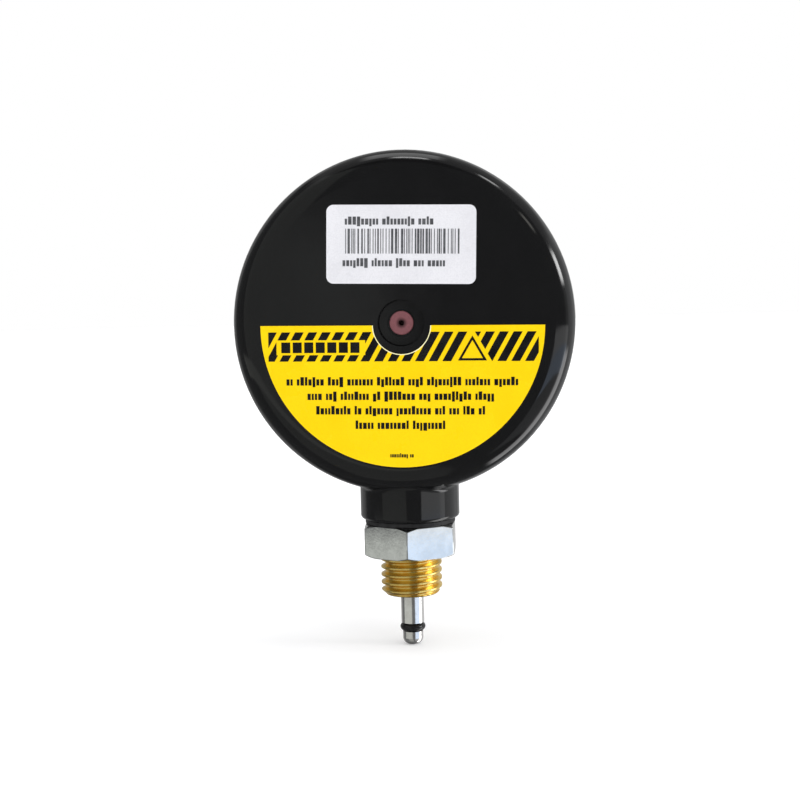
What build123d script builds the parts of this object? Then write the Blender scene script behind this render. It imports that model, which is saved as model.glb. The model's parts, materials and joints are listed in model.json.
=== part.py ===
from build123d import *
from math import acos, asin, cos, degrees, pi, radians, sin, tan
import os

os.makedirs("parts", exist_ok=True)

# A Bourdon-tube pressure gauge head. The origin is on the stem axis, at the end face of the
# thread, where the spigot leaves it. +Z is up the stem, the dial faces -Y and the back faces +Y.

# ---------------------------------------------------------------- driving dimensions

# case
CASE_RADIUS = 32.0
CASE_WALL = 2.4
BACK_WALL = 2.3
BACK_FILLET = 5.0
INNER_FILLET = 3.0
GAUGE_Z = 52.4
BACK_Y = 11.3
RIM_Y = -14.4
BOSS_RADIUS = 9.55
BOSS_Z = 14.9
BOSS_BORE = 7.05
BOSS_TOP = 28.0
BOSS_BLEND = 0.9
BOSS_FOOT_ROUND = 0.7
CASE_INNER = CASE_RADIUS - CASE_WALL

# front closure
BEZEL_RADIUS = 32.7
BEZEL_BACK_Y = -10.4
FRONT_Y = -18.0
CASE_SPIGOT = 30.8
BEZEL_CLEARANCE = 0.1
BEZEL_FRONT_ROUND = 1.6
BEZEL_BACK_ROUND = 0.5
WINDOW_RADIUS = 30.6
WINDOW_THICKNESS = 1.8
WINDOW_ROUND = 0.3
GASKET_THICKNESS = 0.6
GASKET_EDGE = 0.2
GASKET_OVERHANG = 0.6
VIEW_RADIUS = 28.4
SNAP_Y = -12.6
SNAP_DEPTH = 0.35
SNAP_WIDTH = 1.2
SNAP_ROOM = 0.2

# stem, thread and spigot
THREAD_RADIUS = 5.9
THREAD_PITCH = 1.5
THREAD_DEPTH = 0.85
THREAD_TOP = 14.3
THREAD_CHAMFER = 0.9
NECK_RADIUS = 7.0
NECK_Z = 15.3
SHOULDER_RADIUS = 8.5
SHOULDER_Z = 22.0
SHOULDER_HEIGHT = 2.0
SEAT_HEIGHT = 3.0
SPIGOT_RADIUS = 2.2
SPIGOT_NOSE_RADIUS = 1.97
SPIGOT_LENGTH = 10.1
SPIGOT_HELD = 6.0
SPIGOT_TANG = 1.9
STEM_MOUTH = 2.4
SPIGOT_BORE = 0.5
RING_Z = -6.65
RING_SECTION = 1.45
RING_OUTER = 2.45
RING_GROOVE = 1.7
NOSE_ROUND = 1.3
CHANNEL_RADIUS = 1.5
SEAL_Z = 18.3
SEAL_GROOVE_WIDTH = 2.0
SEAL_INNER = 5.55
SEAL_SECTION = 1.45
STEM_TENON = 4.0
TENON_HEIGHT = 3.0
RESTRICTOR_Z = 7.0
RESTRICTOR_LENGTH = 4.0
RESTRICTOR_HOLE = 0.25
RESTRICTOR_SLOT = 0.6
RESTRICTOR_SLOT_DEPTH = 0.8

# lock nut and its seal washer
NUT_FLATS = 17.0
NUT_HEIGHT = 6.2
NUT_CHAMFER_RADIUS = 8.75
NUT_CHAMFER_ANGLE = 30.0
NUT_TURN = 30.0
NUT_CLEARANCE = 0.06
NUT_MOUTH_CHAMFER = 0.4
WASHER_THICKNESS = 1.0
WASHER_RADIUS = 8.7
WASHER_ROUND = 0.25
WASHER_ROOM = 0.1

# back of the case
RECESS_RADIUS = 4.3
RECESS_DEPTH = 1.0
RECESS_TAPER = 12
PLUG_RADIUS = 2.2
PLUG_CLEARANCE = 0.06
PLUG_LENGTH = 5.0
PLUG_DIMPLE = 0.5
PLUG_DIMPLE_DEPTH = 1.6
PLUG_DIMPLE_TAPER = 6
PLUG_LEAD = 1.2
PLUG_LEAD_STEP = 0.4
PLUG_ROUND = 0.2
PLUG_GROOVE = 2.56
PLUG_GROOVE_DEPTH = 0.5
PLUG_COLLAR = 4.6
PLUG_SET_BACK = 0.05
PLUG_STAND_OUT = 0.6
LABEL_THICKNESS = 0.12
SERIAL_SIZE = (27.4, 14.35)
SERIAL_CORNER = 1.3
SERIAL_CENTRE = (0.35, 14.3)
SERIAL_TILT = -1.65
WARNING_RADIUS = 26.15
WARNING_CENTRE = (0.1, -0.45)
WARNING_NOTCH = 5.27
WARNING_TILT = -1.05

# Bourdon tube, drawn in the dial's plane with angles counterclockwise from +X
TUBE_RADIUS = 22.0
TUBE_DEPTH = 7.0
TUBE_THICKNESS = 2.0
TUBE_WALL = 0.35
TUBE_TIP_ANGLE = -28.0
TUBE_ROOT_ANGLE = 259.0
TUBE_ROOT_REACH = 4.4
TUBE_ROOT_RISE = 0.4
TIP_CAP_ANGLE = -31.5
TIP_CAP_HEIGHT = 3.2
TIP_CAP_LENGTH = 2.4
TIP_CAP_DEPTH = 7.8
TIP_CAP_ROUND = 0.4
TIP_LUG = 0.75
BLOCK_HALF_WIDTH = 7.0
BLOCK_HALF_DEPTH = 4.2
BLOCK_ROUND = 1.0
BLOCK_TOP = -19.5
TONGUE_THICKNESS = 2.6
TONGUE_LEFT = -8.5
TONGUE_RIGHT = 10.6
TONGUE_TOP = -11.0
TONGUE_LAP = 3.0
CROSS_HOLE = 0.7

# movement
GEAR_MODULE = 0.3
PINION_TEETH = 10
SECTOR_TEETH = 90
PRESSURE_ANGLE = 20.0
BACKLASH = 0.09
SECTOR_ADDENDUM = 0.2
PINION_ADDENDUM = 0.26
DEDENDUM = 0.36
INVOLUTE_STEPS = 5
SECTOR_AIM = 101.5
SECTOR_THICKNESS = 1.0
SECTOR_FRONT_Y = -2.5
SECTOR_RIM = 1.4
SECTOR_HUB = 2.2
SPOKE_WIDTH = 1.4
SPOKE_INNER = 4.5
TOOTH_SINK = 0.1
TAIL_WIDTH = 2.4
PINION_BACK_Y = -0.8
PINION_LENGTH = 2.4
TAIL_LENGTH = 5.0
TAIL_ANGLE = -40.0
TIP_HOLE_RADIUS = 19.0
TIP_HOLE_ANGLE = -30.0
LINK_PIN_RADIUS = 0.4
LINK_BACK_Y = -2.8
LINK_THICKNESS = 0.8
LINK_WIDTH = 2.0
OPEN_PIVOT_ROOM = 0.2
PIN_HEAD_Y = -3.7
PIN_HEAD_RADIUS = 0.75
PIN_HEAD = 0.4
REAR_PLATE_Y = 3.0
FRONT_PLATE_Y = -5.0
PLATE_THICKNESS = 1.0
PLATE_MARGIN = 2.6
PIVOT_RADIUS = 0.5
ARBOR_RADIUS = 0.8
RUNNING = 0.04
END_SHAKE = 0.1
COLLAR_LENGTH = 0.5
COLLAR_STEP = 0.4
ARBOR_LEAD = 0.15
ARBOR_END_ROOM = 0.5
ARBOR_END_DEPTH = 0.6
ARBOR_TIP_Y = -13.2
PILLAR_RADIUS = 1.3
RIVET_RADIUS = 0.8
SCREW_SHANK = 0.6
SCREW_HEAD = 1.3
SCREW_HEAD_HEIGHT = 0.8
SCREW_SLOT = 0.35
SCREW_SLOT_DEPTH = 0.4
SCREW_SLOT_ANGLE = 35
SCREW_REACH = 3.0
SCREW_END_ROOM = 0.2
SCREW_ROUND = 0.2
HAIRSPRING_Y = 1.3
HAIRSPRING_HEIGHT = 0.9
HAIRSPRING_STRIP = 0.12
HAIRSPRING_TURNS = 4.5
HAIRSPRING_PITCH = 0.75
HAIRSPRING_STEP = 30
COLLET_RADIUS = 1.4
STUD_RADIUS = 0.45

# dial and pointer
DIAL_RADIUS = 28.8
DIAL_THICKNESS = 0.5
DIAL_BACK_Y = -10.6
ZERO_ANGLE = 225.0
POINTER_BACK_Y = -12.5
POINTER_THICKNESS = 0.5
POINTER_LENGTH = 20.5
POINTER_TAIL = 7.5
POINTER_HALF_WIDTH = 1.2
POINTER_TIP_WIDTH = 0.15
POINTER_FLARE = 0.5
HUB_RADIUS = 1.5
HUB_CAP_RADIUS = 2.6
STOP_RADIUS = 16.0
STOP_PIN = 0.4
STOP_GAP = 0.1
STOP_TIP_Y = -13.3
POINTER_DISC = 3.2
HUB_SKIRT = 0.6
HUB_CAP_HEIGHT = 0.9
HUB_CAP_ROUND = 0.35
DIAL_HOLE_ROOM = 0.6
STOP_PIN_ROUND = 0.2

# ---------------------------------------------------------------- shared geometry

GAUGE_AXIS = Axis((0, 0, GAUGE_Z), (0, -1, 0))
SECTION_PLANE = Plane.XY.offset(GAUGE_Z)


def front_plane(y):
    """The dial's plane at depth y, as seen from the front: local Y is up, normal is -Y."""
    return Plane(origin=(0, y, GAUGE_Z), x_dir=(1, 0, 0), z_dir=(0, -1, 0))


def back_plane(y):
    """The same plane as seen from behind: local Y is up, normal is +Y."""
    return Plane(origin=(0, y, GAUGE_Z), x_dir=(-1, 0, 0), z_dir=(0, 1, 0))


def polar(radius, degrees, centre=(0, 0)):
    """A point at a radius and an angle from a centre."""
    angle = radians(degrees)
    return (centre[0] + radius * cos(angle), centre[1] + radius * sin(angle))


def tooth_outline(teeth, addendum, dedendum):
    """One involute tooth about local +X, as a closed outline that starts inside the root circle."""
    pitch_radius = GEAR_MODULE * teeth / 2
    base_radius = pitch_radius * cos(radians(PRESSURE_ANGLE))
    root_radius = pitch_radius - dedendum
    tip_radius = pitch_radius + addendum
    involute = tan(radians(PRESSURE_ANGLE)) - radians(PRESSURE_ANGLE)
    half_tooth = (pi * GEAR_MODULE / 2 - BACKLASH) / (2 * pitch_radius) + involute
    start = max(base_radius, root_radius)
    flank = [(root_radius - TOOTH_SINK, half_tooth)]
    if root_radius < base_radius:
        flank.append((root_radius, half_tooth))
    for step in range(INVOLUTE_STEPS + 1):
        radius = start + (tip_radius - start) * step / INVOLUTE_STEPS
        roll = acos(base_radius / radius)
        flank.append((radius, half_tooth - (tan(roll) - roll)))
    left = [(radius * cos(angle), radius * sin(angle)) for radius, angle in flank]
    right = [(x, -y) for x, y in reversed(left)]
    return left + right


SECTOR_PITCH = GEAR_MODULE * SECTOR_TEETH / 2
PINION_PITCH = GEAR_MODULE * PINION_TEETH / 2
CENTRE_DISTANCE = SECTOR_PITCH + PINION_PITCH
SECTOR_PIVOT = polar(CENTRE_DISTANCE, SECTOR_AIM + 180)
LINK_HOLE = polar(TAIL_LENGTH, TAIL_ANGLE, SECTOR_PIVOT)
TIP_HOLE = polar(TIP_HOLE_RADIUS, TIP_HOLE_ANGLE)
PILLARS = [(-10.0, -9.0), (12.0, 3.0), (-7.0, 9.0)]
DIAL_POSTS = [(-9.0, 0.0), (9.0, 0.0)]
MOVEMENT_SCREWS = [(-6.0, -16.0), (8.2, -14.0)]
PLATE_FRONT_Y = FRONT_PLATE_Y - PLATE_THICKNESS
REAR_PLATE_FRONT_Y = REAR_PLATE_Y - PLATE_THICKNESS
DIAL_FRONT_Y = DIAL_BACK_Y - DIAL_THICKNESS
WINDOW_BACK_Y = RIM_Y - GASKET_THICKNESS
WINDOW_FRONT_Y = WINDOW_BACK_Y - WINDOW_THICKNESS
RECESS_FLOOR_Y = BACK_Y - RECESS_DEPTH
NUT_TOP = BOSS_Z - WASHER_THICKNESS
NUT_BOTTOM = NUT_TOP - NUT_HEIGHT
CAVITY_Y = BACK_Y - BACK_WALL
PLUG_INNER_Y = RECESS_FLOOR_Y - PLUG_LENGTH + PLUG_STAND_OUT
BEZEL_INNER = CASE_SPIGOT + BEZEL_CLEARANCE
NUT_BORE = THREAD_RADIUS + NUT_CLEARANCE
SHOULDER_TOP = SHOULDER_Z + SHOULDER_HEIGHT
TENON_TOP = SHOULDER_TOP + TENON_HEIGHT

# the thread's 60-degree grooves, cut as rings one pitch apart
GROOVE_ROOT = THREAD_PITCH / 16
GROOVE_MOUTH = GROOVE_ROOT + THREAD_DEPTH * tan(radians(30))
THREAD_GROOVES = [
    (THREAD_RADIUS - depth, THREAD_PITCH * turn + offset)
    for turn in range(1, int(THREAD_TOP / THREAD_PITCH) + 1)
    for depth, offset in (
        (0, -GROOVE_MOUTH),
        (THREAD_DEPTH, -GROOVE_ROOT),
        (THREAD_DEPTH, GROOVE_ROOT),
        (0, GROOVE_MOUTH),
    )
]

NUT_CORNER = NUT_FLATS / 2 / cos(radians(30)) + NUT_CLEARANCE
NUT_CHAMFER_DROP = (NUT_CORNER - NUT_CHAMFER_RADIUS) * tan(radians(NUT_CHAMFER_ANGLE))
RING_INNER = RING_OUTER - RING_SECTION
CROSS_HOLE_Z = GAUGE_Z - TUBE_RADIUS + TUBE_ROOT_RISE
PIN_LENGTH = SECTOR_FRONT_Y + SECTOR_THICKNESS - PIN_HEAD_Y

# the sector at rest: the tooth at its aim is in mesh, and the rest trail behind it
TOOTH_STEP = 360 / SECTOR_TEETH
SECTOR_TOOTH_ANGLES = [SECTOR_AIM + TOOTH_STEP * index for index in range(-9, 2)]
SECTOR_TEETH_PLACES = [Location((*SECTOR_PIVOT, 0), (0, 0, angle)) for angle in SECTOR_TOOTH_ANGLES]
SECTOR_LOW_ANGLE = SECTOR_TOOTH_ANGLES[0] - TOOTH_STEP / 2
SECTOR_HIGH_ANGLE = SECTOR_TOOTH_ANGLES[-1] + TOOTH_STEP / 2
SECTOR_SPAN = SECTOR_HIGH_ANGLE - SECTOR_LOW_ANGLE
SECTOR_ROOT = SECTOR_PITCH - DEDENDUM
SPOKE_OUTER = SECTOR_ROOT - SECTOR_RIM
SPOKE_ROOM_OUTER = degrees(SPOKE_WIDTH / SPOKE_OUTER)
SPOKE_ROOM_INNER = degrees(SPOKE_WIDTH / SPOKE_INNER)
# a gap between two pinion teeth faces the sector
PINION_PHASE = SECTOR_AIM + 180 + 180 / PINION_TEETH

HAIRSPRING_POINTS = [
    (COLLET_RADIUS + HAIRSPRING_PITCH * angle / 360, angle)
    for angle in range(0, int(360 * HAIRSPRING_TURNS) + 1, HAIRSPRING_STEP)
]
HAIRSPRING_INNER = [polar(radius, angle) for radius, angle in HAIRSPRING_POINTS]
HAIRSPRING_OUTER = [
    polar(radius + HAIRSPRING_STRIP, angle)
    for radius, angle in HAIRSPRING_POINTS
]
HAIRSPRING_END, HAIRSPRING_END_ANGLE = HAIRSPRING_POINTS[-1]
HAIRSPRING_STUD = polar(HAIRSPRING_END + HAIRSPRING_STRIP + STUD_RADIUS, HAIRSPRING_END_ANGLE)

# the pin stands just short of the pointer's low edge, on the side below zero
POINTER_SLOPE = (POINTER_TIP_WIDTH - POINTER_HALF_WIDTH) / POINTER_LENGTH
POINTER_HALF_AT_STOP = POINTER_HALF_WIDTH + POINTER_SLOPE * STOP_RADIUS
STOP_OFFSET = degrees(asin((POINTER_HALF_AT_STOP + STOP_PIN + STOP_GAP) / STOP_RADIUS))
STOP_PLACE = polar(STOP_RADIUS, ZERO_ANGLE + STOP_OFFSET)
POINTER_OUTLINE = [
    (POINTER_LENGTH, POINTER_TIP_WIDTH),
    (0, POINTER_HALF_WIDTH),
    (-POINTER_TAIL, POINTER_HALF_WIDTH + POINTER_FLARE),
    (-POINTER_TAIL, -POINTER_HALF_WIDTH - POINTER_FLARE),
    (0, -POINTER_HALF_WIDTH),
    (POINTER_LENGTH, -POINTER_TIP_WIDTH),
]

# ---------------------------------------------------------------- case and front closure

with BuildPart() as case:
    with BuildSketch(SECTION_PLANE):
        with BuildLine():
            Polyline(
                (0, BACK_Y),
                (CASE_RADIUS, BACK_Y),
                (CASE_RADIUS, BEZEL_BACK_Y),
                (CASE_SPIGOT, BEZEL_BACK_Y),
                (CASE_SPIGOT, RIM_Y),
                (0, RIM_Y),
                close=True,
            )
        make_face()
    revolve(axis=GAUGE_AXIS)
    fillet(case.edges().filter_by(GeomType.CIRCLE).sort_by(Axis.Y)[-1], BACK_FILLET)
    # the boss that the stem passes through, blended into the wall and rounded at its foot
    with BuildSketch(Plane.XY.offset(BOSS_Z)):
        Circle(BOSS_RADIUS)
    extrude(amount=BOSS_TOP - BOSS_Z)
    # where the two walls cross, the edges are neither straight nor round
    junction = case.edges().filter_by(lambda edge: BOSS_Z < edge.center().Z < BOSS_TOP)
    junction = junction.filter_by(GeomType.LINE, reverse=True).filter_by(GeomType.CIRCLE, reverse=True)
    fillet(junction, BOSS_BLEND)
    fillet(case.edges().filter_by(GeomType.CIRCLE).sort_by(Axis.Z)[0], BOSS_FOOT_ROUND)
    # the cavity, with a rounded inner corner
    with BuildSketch(SECTION_PLANE):
        with BuildLine():
            Polyline(
                (0, CAVITY_Y),
                (0, RIM_Y),
                (CASE_INNER, RIM_Y),
                (CASE_INNER, CAVITY_Y - INNER_FILLET),
            )
            RadiusArc(
                (CASE_INNER, CAVITY_Y - INNER_FILLET),
                (CASE_INNER - INNER_FILLET, CAVITY_Y),
                -INNER_FILLET,
            )
            Line((CASE_INNER - INNER_FILLET, CAVITY_Y), (0, CAVITY_Y))
        make_face()
    revolve(axis=GAUGE_AXIS, mode=Mode.SUBTRACT)
    # the seat for the stem's shoulder and the bore under it
    with BuildSketch(Plane.XY.offset(SHOULDER_Z)):
        Circle(SHOULDER_RADIUS + RUNNING)
    extrude(amount=SEAT_HEIGHT, mode=Mode.SUBTRACT)
    with BuildSketch(Plane.XY.offset(BOSS_Z)):
        Circle(BOSS_BORE)
    extrude(amount=SHOULDER_Z - BOSS_Z, mode=Mode.SUBTRACT)
    # a collar inside the back wall that holds the relief plug, and its dished recess outside
    with BuildSketch(back_plane(PLUG_INNER_Y)):
        Circle(PLUG_COLLAR)
    extrude(amount=CAVITY_Y - PLUG_INNER_Y)
    with BuildSketch(back_plane(BACK_Y)):
        Circle(RECESS_RADIUS)
    extrude(amount=-RECESS_DEPTH, taper=RECESS_TAPER, mode=Mode.SUBTRACT)
    with BuildSketch(back_plane(RECESS_FLOOR_Y)):
        Circle(PLUG_GROOVE)
    extrude(amount=-PLUG_GROOVE_DEPTH, mode=Mode.SUBTRACT)
    with BuildSketch(back_plane(PLUG_INNER_Y)):
        Circle(PLUG_RADIUS + PLUG_CLEARANCE)
    extrude(amount=BACK_Y - PLUG_INNER_Y, mode=Mode.SUBTRACT)
    # the groove that the bezel snaps into
    with BuildSketch(SECTION_PLANE):
        with Locations((CASE_SPIGOT, SNAP_Y)):
            Rectangle(2 * SNAP_DEPTH, SNAP_WIDTH + SNAP_ROOM)
    revolve(axis=GAUGE_AXIS, mode=Mode.SUBTRACT)
case.part.label = "case"
export_step(case.part, "parts/case.step")

with BuildPart() as bezel_ring:
    with BuildSketch(SECTION_PLANE):
        with BuildLine():
            Polyline(
                (BEZEL_RADIUS, BEZEL_BACK_Y),
                (BEZEL_RADIUS, FRONT_Y),
                (VIEW_RADIUS, FRONT_Y),
                (VIEW_RADIUS, WINDOW_FRONT_Y),
                (BEZEL_INNER, WINDOW_FRONT_Y),
                (BEZEL_INNER, SNAP_Y - SNAP_WIDTH / 2),
                (BEZEL_INNER - SNAP_DEPTH, SNAP_Y - SNAP_WIDTH / 4),
                (BEZEL_INNER - SNAP_DEPTH, SNAP_Y + SNAP_WIDTH / 4),
                (BEZEL_INNER, SNAP_Y + SNAP_WIDTH / 2),
                (BEZEL_INNER, BEZEL_BACK_Y),
                close=True,
            )
        make_face()
    revolve(axis=GAUGE_AXIS)
    round_edges = bezel_ring.edges().filter_by(GeomType.CIRCLE)
    outer_edges = round_edges.filter_by(lambda edge: edge.radius > CASE_RADIUS)
    fillet(outer_edges.sort_by(Axis.Y)[0], BEZEL_FRONT_ROUND)
    fillet(outer_edges.sort_by(Axis.Y)[-1], BEZEL_BACK_ROUND)
bezel_ring.part.label = "bezel_ring"
export_step(bezel_ring.part, "parts/bezel_ring.step")

with BuildPart() as window:
    with BuildSketch(front_plane(WINDOW_BACK_Y)):
        Circle(WINDOW_RADIUS)
    extrude(amount=WINDOW_THICKNESS)
    fillet(window.edges().filter_by(GeomType.CIRCLE), WINDOW_ROUND)
window.part.label = "window"
export_step(window.part, "parts/window.step")

with BuildPart() as window_gasket:
    with BuildSketch(front_plane(RIM_Y)):
        Circle(WINDOW_RADIUS - GASKET_EDGE)
        Circle(CASE_INNER - GASKET_OVERHANG, mode=Mode.SUBTRACT)
    extrude(amount=GASKET_THICKNESS)
window_gasket.part.label = "window_gasket"
export_step(window_gasket.part, "parts/window_gasket.step")

# ---------------------------------------------------------------- back of the case

with BuildPart() as relief_plug:
    with BuildSketch(back_plane(RECESS_FLOOR_Y - PLUG_SET_BACK)):
        Circle(PLUG_RADIUS)
    extrude(amount=-PLUG_LENGTH)
    plug_edges = relief_plug.edges().filter_by(GeomType.CIRCLE).sort_by(Axis.Y)
    chamfer(plug_edges[0], PLUG_LEAD, PLUG_LEAD_STEP)
    fillet(relief_plug.edges().filter_by(GeomType.CIRCLE).sort_by(Axis.Y)[-1], PLUG_ROUND)
    with BuildSketch(back_plane(RECESS_FLOOR_Y - PLUG_SET_BACK)):
        Circle(PLUG_DIMPLE)
    extrude(amount=-PLUG_DIMPLE_DEPTH, taper=PLUG_DIMPLE_TAPER, mode=Mode.SUBTRACT)
relief_plug.part.label = "relief_plug"
export_step(relief_plug.part, "parts/relief_plug.step")

with BuildPart() as serial_label:
    with BuildSketch(back_plane(BACK_Y)):
        with Locations(Location((*SERIAL_CENTRE, 0), (0, 0, SERIAL_TILT))):
            RectangleRounded(*SERIAL_SIZE, SERIAL_CORNER)
    extrude(amount=LABEL_THICKNESS)
serial_label.part.label = "serial_label"
export_step(serial_label.part, "parts/serial_label.step")

with BuildPart() as warning_label:
    with BuildSketch(back_plane(BACK_Y)):
        with Locations(Location((*WARNING_CENTRE, 0), (0, 0, WARNING_TILT))):
            Circle(WARNING_RADIUS)
            Rectangle(
                2 * WARNING_RADIUS,
                2 * WARNING_RADIUS,
                align=(Align.CENTER, Align.MIN),
                mode=Mode.SUBTRACT,
            )
            Circle(WARNING_NOTCH, mode=Mode.SUBTRACT)
    extrude(amount=LABEL_THICKNESS)
warning_label.part.label = "warning_label"
export_step(warning_label.part, "parts/warning_label.step")

# ---------------------------------------------------------------- stem, nut and spigot

with BuildPart() as stem:
    with BuildSketch(Plane.XZ):
        with BuildLine():
            Polyline(
                (STEM_MOUTH, 0),
                (THREAD_RADIUS - THREAD_CHAMFER, 0),
                (THREAD_RADIUS, THREAD_CHAMFER),
                *THREAD_GROOVES,
                (THREAD_RADIUS, THREAD_TOP),
                (THREAD_RADIUS - THREAD_DEPTH, THREAD_TOP),
                (THREAD_RADIUS - THREAD_DEPTH, NECK_Z),
                (NECK_RADIUS, NECK_Z),
                (NECK_RADIUS, SEAL_Z - SEAL_GROOVE_WIDTH / 2),
                (SEAL_INNER, SEAL_Z - SEAL_GROOVE_WIDTH / 2),
                (SEAL_INNER, SEAL_Z + SEAL_GROOVE_WIDTH / 2),
                (NECK_RADIUS, SEAL_Z + SEAL_GROOVE_WIDTH / 2),
                (NECK_RADIUS, SHOULDER_Z),
                (SHOULDER_RADIUS, SHOULDER_Z),
                (SHOULDER_RADIUS, SHOULDER_TOP),
                (STEM_TENON, SHOULDER_TOP),
                (STEM_TENON, TENON_TOP),
                (CHANNEL_RADIUS, TENON_TOP),
                (CHANNEL_RADIUS, SPIGOT_HELD),
                (SPIGOT_TANG, SPIGOT_HELD),
                (SPIGOT_TANG, STEM_MOUTH - SPIGOT_TANG),
                close=True,
            )
        make_face()
    revolve(axis=Axis.Z)
stem.part.label = "stem"
export_step(stem.part, "parts/stem.step")

with BuildPart() as neck_seal:
    with BuildSketch(Plane.XZ):
        with Locations((SEAL_INNER + SEAL_SECTION / 2, SEAL_Z)):
            Circle(SEAL_SECTION / 2)
    revolve(axis=Axis.Z)
neck_seal.part.label = "neck_seal"
export_step(neck_seal.part, "parts/neck_seal.step")

with BuildPart() as restrictor:
    with BuildSketch(Plane.XY.offset(RESTRICTOR_Z)):
        Circle(CHANNEL_RADIUS)
        Circle(RESTRICTOR_HOLE, mode=Mode.SUBTRACT)
    extrude(amount=RESTRICTOR_LENGTH)
    with BuildSketch(Plane.XY.offset(RESTRICTOR_Z)):
        Rectangle(2 * CHANNEL_RADIUS, RESTRICTOR_SLOT)
    extrude(amount=RESTRICTOR_SLOT_DEPTH, mode=Mode.SUBTRACT)
restrictor.part.label = "restrictor"
export_step(restrictor.part, "parts/restrictor.step")

with BuildPart() as spigot:
    with BuildSketch(Plane.XZ):
        with BuildLine():
            Polyline(
                (SPIGOT_BORE, SPIGOT_HELD),
                (SPIGOT_TANG, SPIGOT_HELD),
                (SPIGOT_TANG, 0),
                (SPIGOT_RADIUS, 0),
                (SPIGOT_RADIUS, RING_Z + RING_GROOVE / 2),
                (RING_INNER, RING_Z + RING_GROOVE / 2),
                (RING_INNER, RING_Z - RING_GROOVE / 2),
                (SPIGOT_NOSE_RADIUS, RING_Z - RING_GROOVE / 2),
                (SPIGOT_NOSE_RADIUS, NOSE_ROUND - SPIGOT_LENGTH),
            )
            RadiusArc(
                (SPIGOT_NOSE_RADIUS, NOSE_ROUND - SPIGOT_LENGTH),
                (SPIGOT_NOSE_RADIUS - NOSE_ROUND, -SPIGOT_LENGTH),
                NOSE_ROUND,
            )
            Polyline(
                (SPIGOT_NOSE_RADIUS - NOSE_ROUND, -SPIGOT_LENGTH),
                (SPIGOT_BORE, -SPIGOT_LENGTH),
                (SPIGOT_BORE, SPIGOT_HELD),
            )
        make_face()
    revolve(axis=Axis.Z)
spigot.part.label = "spigot"
export_step(spigot.part, "parts/spigot.step")

with BuildPart() as spigot_o_ring:
    with BuildSketch(Plane.XZ):
        with Locations((RING_OUTER - RING_SECTION / 2, RING_Z)):
            Circle(RING_SECTION / 2)
    revolve(axis=Axis.Z)
spigot_o_ring.part.label = "spigot_o_ring"
export_step(spigot_o_ring.part, "parts/spigot_o_ring.step")

with BuildPart() as seal_washer:
    with BuildSketch(Plane.XY.offset(NUT_TOP)):
        Circle(WASHER_RADIUS)
        Circle(NUT_BORE + WASHER_ROOM, mode=Mode.SUBTRACT)
    extrude(amount=WASHER_THICKNESS)
    washer_edges = seal_washer.edges().filter_by(GeomType.CIRCLE)
    fillet(washer_edges.filter_by(lambda edge: edge.radius > NECK_RADIUS), WASHER_ROUND)
seal_washer.part.label = "seal_washer"
export_step(seal_washer.part, "parts/seal_washer.step")

with BuildPart() as lock_nut:
    with BuildSketch(Plane.XY.offset(NUT_BOTTOM)):
        RegularPolygon(NUT_FLATS / 2, 6, major_radius=False, rotation=NUT_TURN)
    extrude(amount=NUT_HEIGHT)
    # both ends are turned down to a cone, which leaves the arcs on the flats
    with BuildSketch(Plane.XZ):
        with BuildLine():
            Polyline(
                (NUT_BORE, NUT_BOTTOM),
                (NUT_CHAMFER_RADIUS, NUT_BOTTOM),
                (NUT_CORNER, NUT_BOTTOM + NUT_CHAMFER_DROP),
                (NUT_CORNER, NUT_TOP - NUT_CHAMFER_DROP),
                (NUT_CHAMFER_RADIUS, NUT_TOP),
                (NUT_BORE, NUT_TOP),
                close=True,
            )
        make_face()
    revolve(axis=Axis.Z, mode=Mode.INTERSECT)
    nut_edges = lock_nut.edges().filter_by(GeomType.CIRCLE)
    chamfer(nut_edges.filter_by(lambda edge: edge.radius < NECK_RADIUS), NUT_MOUTH_CHAMFER)
lock_nut.part.label = "lock_nut"
export_step(lock_nut.part, "parts/lock_nut.step")

# ---------------------------------------------------------------- pressure element

TUBE_START_PLANE = Plane(
    origin=(0, 0, GAUGE_Z),
    x_dir=(cos(radians(TUBE_TIP_ANGLE)), 0, sin(radians(TUBE_TIP_ANGLE))),
    z_dir=(-sin(radians(TUBE_TIP_ANGLE)), 0, cos(radians(TUBE_TIP_ANGLE))),
)

with BuildPart() as bourdon_tube:
    with BuildSketch(TUBE_START_PLANE):
        with Locations((TUBE_RADIUS, 0)):
            SlotOverall(TUBE_DEPTH, TUBE_THICKNESS, rotation=90)
            SlotOverall(
                TUBE_DEPTH - 2 * TUBE_WALL,
                TUBE_THICKNESS - 2 * TUBE_WALL,
                rotation=90,
                mode=Mode.SUBTRACT,
            )
    revolve(axis=GAUGE_AXIS, revolution_arc=TUBE_ROOT_ANGLE - TUBE_TIP_ANGLE)
bourdon_tube.part.label = "bourdon_tube"
export_step(bourdon_tube.part, "parts/bourdon_tube.step")

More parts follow.
